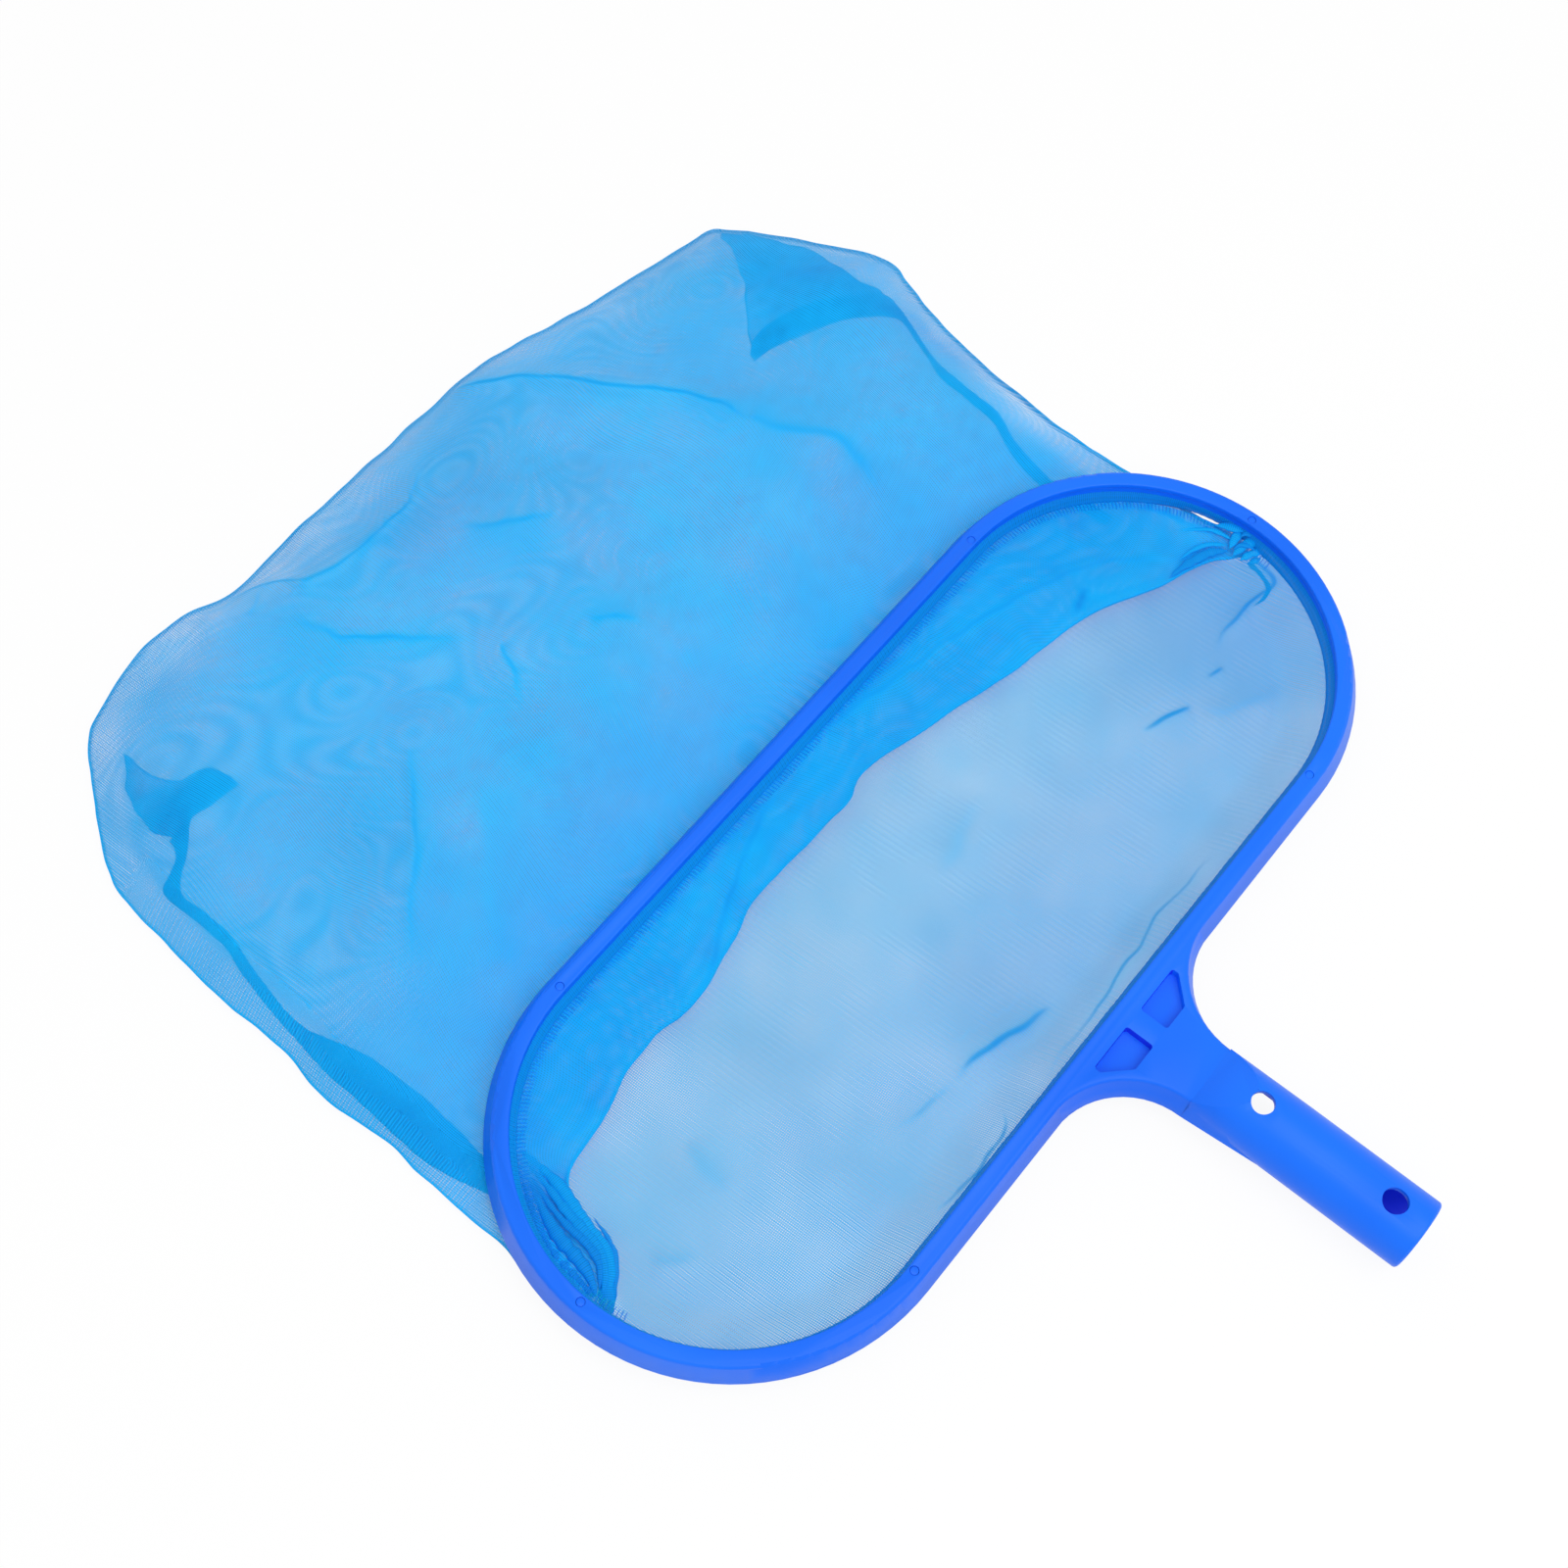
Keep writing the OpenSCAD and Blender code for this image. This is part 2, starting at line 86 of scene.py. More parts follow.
def makeCamera(place):
    a, e, roll = (math.radians(place[k]) for k in ("azimuth", "elevation", "roll"))
    back = Vector((math.sin(a) * math.cos(e), -math.cos(a) * math.cos(e), math.sin(e)))
    side = Vector((0, 0, 1)).cross(back).normalized()
    rise = back.cross(side)
    across = side * math.cos(roll) + rise * math.sin(roll)
    up = rise * math.cos(roll) - side * math.sin(roll)
    data = bpy.data.cameras.new("camera")
    data.lens, data.sensor_width = place["lens"], 36
    data.shift_x, data.shift_y = place["shiftX"], place["shiftY"]
    camera = bpy.data.objects.new("camera", data)
    scene.collection.objects.link(camera)
    turn = Matrix((across, up, back)).transposed().to_4x4()
    camera.matrix_world = Matrix.Translation(place["at"]) @ turn
    scene.camera = camera


def makeLamp(name, at, size, power, aim=(0, 0, 0)):
    data = bpy.data.lights.new(name, "AREA")
    data.shape, data.size, data.energy = "DISK", size, power
    lamp = bpy.data.objects.new(name, data)
    scene.collection.objects.link(lamp)
    lamp.location = at
    lamp.rotation_euler = (Vector(at) - Vector(aim)).to_track_quat("Z", "Y").to_euler()


def whiteRays(tree):
    # 1 for the rays that should meet plain white: the camera's, mirrored and passed through
    path = put(tree, "ShaderNodeLightPath").outputs
    value = path["Is Camera Ray"]
    for label in ("Is Glossy Ray", "Is Transmission Ray"):
        value = mathNode(tree, "MAXIMUM", value, path[label])
    return value


def mixToWhite(tree, share, shaded, white, outputKind):
    mix = put(tree, "ShaderNodeMixShader", {"Fac": share, 1: shaded.outputs[0], 2: white.outputs[0]})
    put(tree, outputKind, {"Surface": mix.outputs["Shader"]})


def makeWorld(s):
    world = bpy.data.worlds.new("studio")
    world.use_nodes = True
    scene.world = world
    tree = world.node_tree
    tree.nodes.clear()
    soft = put(tree, "ShaderNodeBackground", {"Color": s["worldColor"], "Strength": s["worldStrength"]})
    seen = put(tree, "ShaderNodeBackground", {"Color": (1, 1, 1, 1)})
    mixToWhite(tree, whiteRays(tree), soft, seen, "ShaderNodeOutputWorld")


def makeFloor(s):
    # pale floor that shows white and keeps a share of the shadow
    half, z = s["floorSize"] / 2, -s["floorDrop"]
    mesh = bpy.data.meshes.new("floor")
    corners = [(-half, -half, z), (half, -half, z), (half, half, z), (-half, half, z)]
    mesh.from_pydata(corners, [], [(0, 1, 2, 3)])
    floor = bpy.data.objects.new("floor", mesh)
    scene.collection.objects.link(floor)
    mat = bpy.data.materials.new("paleFloor")
    mat.use_nodes = True
    tree = mat.node_tree
    tree.nodes.clear()
    lit = put(tree, "ShaderNodeBsdfDiffuse", {"Color": s["floorColor"]})
    glow = put(tree, "ShaderNodeEmission")
    share = mathNode(tree, "MULTIPLY", whiteRays(tree), 1 - s["shadowShare"])
    mixToWhite(tree, share, lit, glow, "ShaderNodeOutputMaterial")
    mesh.materials.append(mat)


def makeStudio(s):
    scene.view_settings.view_transform = "Standard"
    makeWorld(s)
    makeLamp("key", s["keyAt"], s["keySize"], s["keyPower"])
    makeLamp("fill", s["fillAt"], s["fillSize"], s["fillPower"])
    makeFloor(s)


makeCamera(cameraPlace)
makeStudio(studio)
print("studio ready")


# shared effects, as node groups

effects = {
    "patchScale": 42, "patchGain": 6.0, "patchFrom": -2.4,  # where ribs show in the weave
    "toneFrom": 0.3, "toneTo": 0.7, "roughScale": 35,
}


def newGroup(name, inputs, outputs):
    # inputs by name, each a number, a colour or None for a place; outputs by name and kind
    tree = bpy.data.node_groups.new(name, "ShaderNodeTree")
    for label, value in inputs.items():
        kind = "Vector" if value is None else "Color" if isinstance(value, tuple) else "Float"
        socket = tree.interface.new_socket(label, in_out="INPUT", socket_type="NodeSocket" + kind)
        if value is not None:
            socket.default_value = value
    for label, kind in outputs.items():
        tree.interface.new_socket(label, in_out="OUTPUT", socket_type="NodeSocket" + kind)
    return tree, tree.nodes.new("NodeGroupInput").outputs, tree.nodes.new("NodeGroupOutput")


def weaveGroup():
    # open square weave: how much of the surface the threads cover, and their relief
    tree, give, take = newGroup("openWeave", {
        "Threads": None, "Pitch": 0.0008, "Openness": 0.5, "Across": 0.4, "Along": 0.2,
        "Rib Pitch": 0.0017, "Rib": 0.05,
    }, {"Cover": "Float", "Relief": "Float"})
    places = put(tree, "ShaderNodeSeparateXYZ", {0: give["Threads"]}).outputs
    turns = mathNode(tree, "DIVIDE", 2 * math.pi, give["Pitch"])
    gaps = []
    for axis, contrast in ((0, "Across"), (1, "Along")):
        wave = mathNode(tree, "COSINE", mathNode(tree, "MULTIPLY", places[axis], turns))
        gaps.append(mathNode(tree, "MULTIPLY_ADD", wave, give[contrast], give["Openness"]))
    # here and there every second thread lies closer, which shows as faint ribs
    patches = put(tree, "ShaderNodeTexNoise", {"Scale": effects["patchScale"], "Vector": give["Threads"]})
    gain, start = effects["patchGain"], effects["patchFrom"]
    strong = mathNode(tree, "MULTIPLY_ADD", patches.outputs["Fac"], gain, start, clamp=True)
    ribTurns = mathNode(tree, "DIVIDE", 2 * math.pi, give["Rib Pitch"])
    ribs = mathNode(tree, "COSINE", mathNode(tree, "MULTIPLY", places[0], ribTurns))
    ribs = mathNode(tree, "MULTIPLY", mathNode(tree, "MULTIPLY", ribs, strong), give["Rib"])
    hole = mathNode(tree, "MULTIPLY", mathNode(tree, "ADD", gaps[0], ribs), gaps[1], clamp=True)
    widest = mathNode(tree, "MAXIMUM", gaps[0], gaps[1])
    fill(tree, take, {"Cover": mathNode(tree, "SUBTRACT", 1.0, hole),
                      "Relief": mathNode(tree, "SUBTRACT", 1.0, widest)})
    return tree


def toneGroup():
    # slow, soft change of tone over a surface, from dark to light
    tree, give, take = newGroup("softTone", {
        "Place": None, "Scale": 12.0, "Dark": (0, 0, 0, 1), "Light": (1, 1, 1, 1),
    }, {"Color": "Color", "Mask": "Float"})
    noise = put(tree, "ShaderNodeTexNoise", {"Detail": 3, "Vector": give["Place"], "Scale": give["Scale"]})
    mask = put(tree, "ShaderNodeMapRange", {
        "From Min": effects["toneFrom"], "From Max": effects["toneTo"], "Value": noise.outputs["Fac"],
    }, interpolation_type="SMOOTHSTEP").outputs["Result"]
    mix = put(tree, "ShaderNodeMix", {0: mask, 6: give["Dark"], 7: give["Light"]}, data_type="RGBA")
    fill(tree, take, {"Color": mix.outputs[2], "Mask": mask})
    return tree


def grainGroup():
    # fine moulded grain: a height for the bump and a small change of roughness
    tree, give, take = newGroup("mouldGrain", {
        "Place": None, "Scale": 900.0, "Rough": 0.35, "Spread": 0.1,
    }, {"Height": "Float", "Roughness": "Float"})
    fine = put(tree, "ShaderNodeTexNoise", {"Detail": 2, "Vector": give["Place"], "Scale": give["Scale"]})
    wide = put(tree, "ShaderNodeTexNoise", {"Scale": effects["roughScale"], "Vector": give["Place"]})
    off = mathNode(tree, "SUBTRACT", wide.outputs["Fac"], 0.5)
    rough = mathNode(tree, "MULTIPLY_ADD", off, give["Spread"], give["Rough"])
    fill(tree, take, {"Height": fine.outputs["Fac"], "Roughness": rough})
    return tree


def foldGroup():
    # how much denser the cloth looks along a crease and along its rolled edge; the material also paints some
    # shade with it
    tree, give, take = newGroup("foldLines", {
        "Line": 9.0, "Weight": 0.0, "Edge": 9.0, "Edge Width": 0.8, "Edge Weight": 1.5,
    }, {"Extra": "Float"})

    def bell(value):
        square = mathNode(tree, "MULTIPLY", value, value)
        return mathNode(tree, "EXPONENT", mathNode(tree, "MULTIPLY", square, -1.0))

    edge = bell(mathNode(tree, "DIVIDE", give["Edge"], give["Edge Width"]))
    edge = mathNode(tree, "MULTIPLY", edge, give["Edge Weight"])
    fill(tree, take, {"Extra": mathNode(tree, "MULTIPLY_ADD", bell(give["Line"]), give["Weight"], edge)})
    return tree


openWeave, softTone, mouldGrain, foldLines = weaveGroup(), toneGroup(), grainGroup(), foldGroup()


def newMaterial(name, viewColor):
    mat = bpy.data.materials.new(name)
    mat.use_nodes = True
    mat.diffuse_color = viewColor
    shader = mat.node_tree.nodes["Principled BSDF"]
    return mat, mat.node_tree, shader


def placeGroup(tree, group, inputs):
    return put(tree, "ShaderNodeGroup", inputs, node_tree=group).outputs


# the ring's oval, in millimetres: two bars joined by half circles

ringLow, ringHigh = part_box("hoop")
barHalf = (ringHigh.x - ringLow.x - (ringHigh.y - ringLow.y)) / 2 / mm
ringY = (ringLow.y + ringHigh.y) / 2 / mm
ringTop = 19.6
print("ring", round(barHalf, 2), round(ringY, 2))


# moulded plastic

def bumpNormal(tree, height, s):
    bump = put(tree, "ShaderNodeBump", {"Strength": s["bump"], "Distance": s["bumpDepth"], "Height": height})
    return bump.outputs["Normal"]


def grainedMaterial(name, s, dark, light):
    # one colour that changes slowly over the piece, with a fine grain
    mat, tree, shader = newMaterial(name, light)
    place = put(tree, "ShaderNodeTexCoord").outputs["Object"]
    tone = placeGroup(tree, softTone, {"Place": place, "Scale": s["toneScale"], "Dark": dark, "Light": light})
    grain = placeGroup(tree, mouldGrain, {
        "Place": place, "Scale": s["grain"], "Rough": s["roughness"], "Spread": s["spread"]})
    fill(tree, shader, {
        "Base Color": tone["Color"], "Roughness": grain["Roughness"], "IOR": s["ior"],
        "Specular IOR Level": s["shine"], "Normal": bumpNormal(tree, grain["Height"], s)})
    return mat


plastic = {
    "dark": (0.003, 0.135, 0.88, 1), "light": (0.006, 0.172, 0.97, 1),
    # the recess colours are darker blues that paint the shade on the pocket walls and inside the handle
    "recessShadeDark": (0.008, 0.034, 0.74, 1), "recessShadeLight": (0.014, 0.050, 0.92, 1),
    "toneScale": 9.0, "grain": 1100.0, "roughness": 0.38, "spread": 0.12, "bump": 0.05, "bumpDepth": 0.0002,
    "ior": 1.49, "shine": 0.22,
}

bluePlastic = grainedMaterial("bluePlastic", plastic, plastic["dark"], plastic["light"])
# a darker copy of the plastic, painted shade for the recesses
recessShadePlastic = grainedMaterial("recessShadePlastic", plastic, plastic["recessShadeDark"], plastic["recessShadeLight"])

moulding = {
    "mergeAt": 0.002, "flatAngle": 1.0, "edgeAngle": 30, "edgeRadius": 0.35, "edgeSteps": 2,
    "pocketHalf": 26.4, "pocketSlant": 0.87, "pocketFrom": -146, "pocketTo": -132.6,
    "pocketFloor": 14.8, "steepest": 0.6, "axisZ": 14.5, "bore": 12.3, "boreTo": -150, "inwards": -2,
    "lipAt": 81.0, "lipRadius": 0.62, "lipSteps": 3, "lipNear": 0.2, "topNear": 0.06,
}


def markLip(mesh, s):
    # the ring's inner top edge takes a larger radius than the rest
    atLip = []
    for v in mesh.vertices:
        x = max(abs(v.co.x / mm) - barHalf, 0)
        reach = math.hypot(x, v.co.y / mm - ringY)
        atTop = abs(v.co.z / mm - ringTop) < s["topNear"]
        atLip.append(atTop and abs(reach - s["lipAt"]) < s["lipNear"])
    weights = mesh.attributes.new("bevel_weight_edge", "FLOAT", "EDGE")
    values = [float(atLip[e.vertices[0]] and atLip[e.vertices[1]]) for e in mesh.edges]
    weights.data.foreach_set("value", values)
    print("lip edges", int(sum(values)))


def takesRecessShade(mesh, poly, s):
    # the walls of the neck's two pockets, and the inside of the handle, where the darker plastic paints their
    # shade
    x, y, z = (c / mm for c in poly.center)
    faces = poly.normal.x * x + poly.normal.z * (z - s["axisZ"])
    if y < s["boreTo"] and math.hypot(x, z - s["axisZ"]) < s["bore"] and faces < s["inwards"]:
        return True
    lowest = min(mesh.vertices[v].co.z for v in poly.vertices) / mm
    outward = abs(x) + (s["pocketTo"] - y) * s["pocketSlant"]
    inPocket = outward < s["pocketHalf"] and s["pocketFrom"] < y < s["pocketTo"]
    return inPocket and abs(poly.normal.z) < s["steepest"] and lowest > s["pocketFloor"]


def softEdged(node, name, s):
    # a merged copy of a moulded solid, with small radii on its sharp edges
    mesh = bpy.data.meshes.new(name)
    bm = bmesh.new()
    bm.from_mesh(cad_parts[node].data)
    bmesh.ops.remove_doubles(bm, verts=bm.verts, dist=s["mergeAt"] * mm)
    bmesh.ops.dissolve_limit(bm, angle_limit=math.radians(s["flatAngle"]), verts=bm.verts, edges=bm.edges)
    bm.to_mesh(mesh)
    bm.free()
    for poly in mesh.polygons:
        poly.use_smooth = True
    piece = bpy.data.objects.new(name, mesh)
    scene.collection.objects.link(piece)
    if node == "frame":
        markLip(mesh, s)
        lip = piece.modifiers.new("lip", "BEVEL")
        lip.width, lip.segments, lip.limit_method = s["lipRadius"] * mm, s["lipSteps"], "WEIGHT"
    bevel = piece.modifiers.new("edges", "BEVEL")
    bevel.width, bevel.segments = s["edgeRadius"] * mm, s["edgeSteps"]
    bevel.limit_method, bevel.angle_limit = "ANGLE", math.radians(s["edgeAngle"])
    bevel.harden_normals, bevel.use_clamp_overlap = True, True
    mesh.materials.append(bluePlastic)
    mesh.materials.append(recessShadePlastic)
    # the recess faces take the darker plastic as painted shade
    deepShade = [poly for poly in mesh.polygons if takesRecessShade(mesh, poly, s)]
    for poly in deepShade:
        poly.material_index = 1
    print(name, "recess faces", len(deepShade))
    return piece


ring = softEdged("frame", "ring_and_handle", moulding)
clip = softEdged("hoop", "clip_hoop", moulding)
for piece, node in ((ring, "frame"), (clip, "hoop")):
    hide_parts(node)
    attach(piece, "root")
print("plastic ready")


# the net's plan, in millimetres

bag = {
    "hemRadius": 79.4, "hemZ": 9.7, "dropLength": 19.0, "floorZ": 0.45, "rimCover": 0.64, "rimFrom": 9.0,
    "rimTo": 17.0, "sideRib": 0.72, "rimRadius": 2.4, "rimZ": 3.0, "foldZ": 5.6, "foldRound": 0.9,
    "crown": 36.0, "crownWidth": 92.0, "riseFrom": 96.0, "riseLength": 60.0,
    "ridges": [((46, 248), (119, 100)), ((-87, 240), (-44, 151)), ((-160, 83), (-93, 143)),
               ((-12, 195), (45, 150))],
    "ridgeHeight": 5.0, "ridgeReach": 20.0, "columns": 272, "lowerRows": 236, "upperRows": 190,
    "tuckRows": 34, "foldRows": 5, "crownPower": 2.6, "footWidth": 30.0, "footPower": 3,
    "rimHold": 12.0, "tuckHold": 6, "leastSpan": 0.5, "fullSpan": 8,
    "mouthReach": 25.0, "hemHold": 5.0, "mouthLift": 0.35, "lowerTurn": 3, "upperTurn": -4,
    "foldCover": 1.8, "foldShade": 0.1, "foldEdge": 0.9, "tuckDensity": 1.15, "tuckBaseShade": 0.07,
    "ribEdge": 11.0, "ribBlend": 5.0, "ribLeftOf": -120.0, "ribEnds": (0.0, 196.0), "ribFade": 12.0,
    "mouthWaves": [(3, 60, 0.6)], "topWaves": [(11, 55, 0.55)], "tuckWaves": [(7, 40, 0.25)],
    "lowerCover": [(71, 70, 0.075), (72, 26, 0.035)],
    "upperCover": [(81, 60, 0.09), (82, 22, 0.06), (83, 8, 0.06)],
    "tuckCover": [(91, 26, 0.12), (92, 9, 0.08)], "tuckShadeWaves": [(93, 20, 0.05)],
    "threadAcross": [(21, 115, 3.6), (23, 60, 1.1)], "threadAlong": [(22, 115, 3.6), (24, 60, 1.1)],
}

leftSide = [
    (-211.5, -44.5), (-212.6, -30), (-213, -18), (-211.5, -4), (-211.4, 24), (-209.9, 53), (-212.5, 81),
    (-208.5, 109.4), (-209.2, 138), (-206.9, 167), (-203.9, 196), (-199.5, 209), (-192, 221),
]
farEdge = [
    (-192, 221), (-183.8, 232.7), (-165.8, 255.5), (-153.9, 262.4), (-126.6, 269.3), (-112, 269.7),
    (-99, 267.8), (-86.8, 262.6), (-72.9, 260.7), (-44.8, 262.2), (-1.6, 262.1), (41.9, 261.7),
    (69.9, 260.5), (96.5, 253.8), (122.8, 246.7), (150, 241), (177, 235), (190.8, 232.4), (193.6, 229.6),
    (201.9, 218.6),
]
rightSide = [
    (211.5, -44.5), (210, -36), (208.8, -10), (207.6, 18.7), (207.5, 46), (208.5, 60), (211.8, 88),
    (216.6, 116), (224.6, 143), (229.4, 156.6), (227.2, 169.7), (215.4, 193.8), (201.9, 218.6),
]
foldLine = [
    (-206, -48), (-196, -46), (-189, -38), (-185, -22), (-179, -9), (-166, -5), (-150, -3), (-135, 1.5),
    (-116, 3), (-104, 0.5), (-87, 0.5), (-65, 6), (-46, 9.5), (-16, 8.5), (6, 7.5), (22, 11), (50, 4.5),
    (75, -1.5), (100, -8.5), (128, -13), (148, -20.5), (169, -31), (190, -38.5), (199, -45.5), (206, -50),
]


def ease(k):
    k = np.clip(k, 0, 1)
    return k * k * (3 - 2 * k)


def softCurve(points, count):
    # even steps along a smooth curve through the points
    p = np.array(points, float)
    ends = np.vstack([2 * p[0] - p[1], p, 2 * p[-1] - p[-2]])
    fine = []
    for i in range(1, len(ends) - 2):
        a, b, c, d = ends[i - 1:i + 3]
        t = np.linspace(0, 1, 24, endpoint=False)[:, None]
        bend, twist = 2 * a - 5 * b + 4 * c - d, 3 * b - a - 3 * c + d
        fine.append(0.5 * (2 * b + (c - a) * t + bend * t ** 2 + twist * t ** 3))
    fine = np.vstack(fine + [ends[-2:-1]])
    run = np.concatenate([[0], np.cumsum(np.linalg.norm(np.diff(fine, axis=0), axis=1))])
    want = np.linspace(0, run[-1], count)
    return np.stack([np.interp(want, run, fine[:, k]) for k in range(fine.shape[1])], 1)


def halfOval(count, radius, side):
    # the mouth's oval from its left end to its right end, on the far side (1) or the handle's (-1)
    arc = math.pi / 2 * radius
    run = np.linspace(-(barHalf + arc), barHalf + arc, count)
    turn = np.maximum(0, np.abs(run) - barHalf) / radius
    x = np.sign(run) * (np.minimum(np.abs(run), barHalf) + radius * np.sin(turn))
    return np.stack([x, ringY + side * radius * np.cos(turn)], 1)


def coonsPatch(bottom, top, left, right):
    # an even grid of points between four edges
    u = np.linspace(0, 1, len(bottom))[None, :, None]
    v = np.linspace(0, 1, len(left))[:, None, None]
    edges = (1 - v) * bottom[None] + v * top[None] + (1 - u) * left[:, None] + u * right[:, None]
    corners = (1 - v) * ((1 - u) * bottom[0] + u * bottom[-1]) + v * ((1 - u) * top[0] + u * top[-1])
    return edges - corners


def pathDistance(points, path):
    # distance of each point from a path, the side it lies on and how far along it is
    best = np.full(len(points), 1e9)
    side = np.zeros(len(points))
    along = np.zeros(len(points))
    steps = np.linalg.norm(np.diff(path, axis=0), axis=1)
    total, before = steps.sum(), 0.0
    for a, b, step in zip(path[:-1], path[1:], steps):
        d = (b - a) / max(step, 1e-9)
        rel = points - a
        t = np.clip(rel @ d, 0, step)
        off = rel - t[:, None] * d
        dist = np.hypot(off[:, 0], off[:, 1])
        near = dist < best
        best[near] = dist[near]
        side[near] = (d[0] * rel[near, 1] - d[1] * rel[near, 0])
        along[near] = (before + t[near]) / total
        before += step
    return best, np.sign(side), along


creaseLook = {
    "steps": 60, "wave": 15, "wander": 0.45, "reach": 3, "margin": 2, "past": 0.02, "unevenness": 0.35,
    "taperEnds": 0.12, "taperTo": 0.5, "bandGain": 1.5, "tightSide": 0.22,
}
plainCrease = {"line": 0.8, "band": 2, "shade": 0, "bandSide": 1, "fadeIn": 0.3, "fadeOut": 0.4}
noLine = 9.0  # what the line field holds where no crease is near, in line widths


def crease(path, **shape):
    # rise is its height, left and right its reach, dark and line the strength and width of its line,
    # and band and shade the strip of denser cloth on its bandSide, which paints the soft shade beside the
    # fold
    return {**plainCrease, "path": path, **shape}


def creaseField(points, creases, seed):
    # what a set of creases does at each point: height, soft cover that paints the shade beside each fold,
    # and a sharp line as its signed distance, in line widths, and its weight
    s = creaseLook
    rise, cover, weight = (np.zeros(len(points)) for _ in range(3))
    line = np.full(len(points), noLine)
    for k, c in enumerate(creases):
        path = softCurve(c["path"], s["steps"])
        path = path + wander(path, seed + 2 * k, s["wave"], s["wander"])
        reach = s["reach"] * max(c["left"], c["right"], c["band"]) + s["margin"]
        low, high = path.min(0) - reach, path.max(0) + reach
        near = np.where(np.all((points > low) & (points < high), axis=1))[0]
        if not len(near):
            continue
        dist, side, along = pathDistance(points[near], path)
        width = np.where(side > 0, c["left"], c["right"])
        start, end = (along + s["past"]) / c["fadeIn"], (1 + s["past"] - along) / c["fadeOut"]
        fade = ease(np.minimum(start, end))
        uneven = 1 + s["unevenness"] * np.sin(along * (5 + k) * 2.1 + k) * np.sin(along * 11 + 2 * k)
        rise[near] += c["rise"] * fade * np.exp(-(dist / width) ** 2)
        ends = np.clip(np.minimum(along, 1 - along) / s["taperEnds"], 0, 1)
        thin = ends * (1 - s["taperTo"]) + s["taperTo"]
        signed = dist * side / (c["line"] * thin)
        closer = np.abs(signed) < np.abs(line[near])
        line[near[closer]] = signed[closer]
        weight[near[closer]] = (c["dark"] * fade * uneven)[closer]
        # the band's extra cover on one side is the fold's painted shade
        wide, tight = np.exp(-dist / c["band"]), np.exp(-(dist / (s["tightSide"] * c["band"])) ** 2)
        cover[near] += s["bandGain"] * c["shade"] * fade * np.where(side == c["bandSide"], wide, tight)
    return rise, cover, line, weight


def toneField(points, tones):
    # soft ovals that raise a field or lower it, used for the cloth's density and for its painted shade:
    # x, y, half length, half width, angle, amount
    cover = np.zeros(len(points))
    for x, y, long, wide, angle, amount in tones:
        a = math.radians(angle)
        rel = points - np.array([x, y])
        u = (rel[:, 0] * math.cos(a) + rel[:, 1] * math.sin(a)) / long
        v = (rel[:, 1] * math.cos(a) - rel[:, 0] * math.sin(a)) / wide
        cover += amount * np.exp(-(u ** 2 + v ** 2))
    return cover


def makeMesh(name, points, faces, fields=None, threads=None, material=None):
    mesh = bpy.data.meshes.new(name)
    mesh.from_pydata(points.tolist(), [], faces.tolist() if hasattr(faces, "tolist") else faces)
    for label, values in (fields or {}).items():
        mesh.attributes.new(label, "FLOAT", "POINT").data.foreach_set("value", values.astype(np.float32))
    if threads is not None:
        layer = mesh.uv_layers.new(name="threads")
        index = np.empty(len(mesh.loops), np.int32)
        mesh.loops.foreach_get("vertex_index", index)
        layer.data.foreach_set("uv", threads[index].astype(np.float32).ravel())
    mesh.polygons.foreach_set("use_smooth", np.ones(len(mesh.polygons), bool))
    if material:
        mesh.materials.append(material)
    piece = bpy.data.objects.new(name, mesh)
    scene.collection.objects.link(piece)
    return piece


def gridFaces(rows, cols):
    i = np.arange(rows - 1)[:, None] * cols + np.arange(cols - 1)[None]
    return np.stack([i, i + 1, i + cols + 1, i + cols], -1).reshape(-1, 4)


def waver(points, seed, wave, amount):
    # slow random waves over the plan, the same on every run
    count = 14
    rng = np.random.default_rng(seed)
    out = np.zeros(len(points))
    for _ in range(count):
        angle = rng.uniform(0, 2 * math.pi)
        length = wave * rng.uniform(0.7, 1.6)
        k = 2 * math.pi / length * np.array([math.cos(angle), math.sin(angle)])
        out += np.sin(points @ k + rng.uniform(0, 2 * math.pi))
    return out * amount / math.sqrt(count / 2)


def waves(points, table):
    # several sets of such waves together, each as its seed, length and size
    return sum(waver(points, seed, length, size) for seed, length, size in table)


def wander(points, seed, wave, amount):
    # a small random drift in the plan
    return np.column_stack([waver(points, seed + axis, wave, amount) for axis in (0, 1)])


def clothFields(count, cover, paintedShade, edge):
    # the fields of a piece without creases
    plain = np.ones(count)
    return {"cover": plain * cover, "paintedShade": plain * paintedShade, "line": plain * noLine, "weight": plain * 0,
            "edge": plain * edge}


# net cloth

cloth = {
    "pitch": 0.00085, "roughness": 0.62, "bump": 0.25, "shadowCover": 0.4, "edgeWidth": 0.75,
    # the deep colour is where the painted shade takes the cloth, and the line share paints shade along
    # creases and rolled edges
    "edgeWeight": 2.0, "deepShade": (0.0, 0.185, 0.7, 1), "lineShade": 0.1, "bumpDepth": 0.0001, "sheen": 0.05,
    "sheenRoughness": 0.4, "shine": 0.12, "toneScale": 14.0, "leastHole": 0.0001,
    "upper": {"dark": (0, 0.425, 0.92, 1), "light": (0, 0.475, 0.99, 1), "openness": 0.51, "across": 0.42,
              "along": 0.2, "rib": 0.135, "ribPitch": 0.0017},
    # the lower sheet's colours are a darker copy of the same cloth, painted shade for the sheet that lies
    # under the upper one
    "lower": {"dark": (0, 0.35, 0.72, 1), "light": (0, 0.395, 0.79, 1), "openness": 0.51, "across": 0.39,
              "along": 0.2, "rib": 0.15, "ribPitch": 0.0013},
    "folded": {"dark": (0, 0.43, 0.95, 1), "light": (0, 0.48, 1.0, 1), "openness": 0.46, "across": 0.38,
               "along": 0.16, "rib": 0.16, "ribPitch": 0.0017},
}


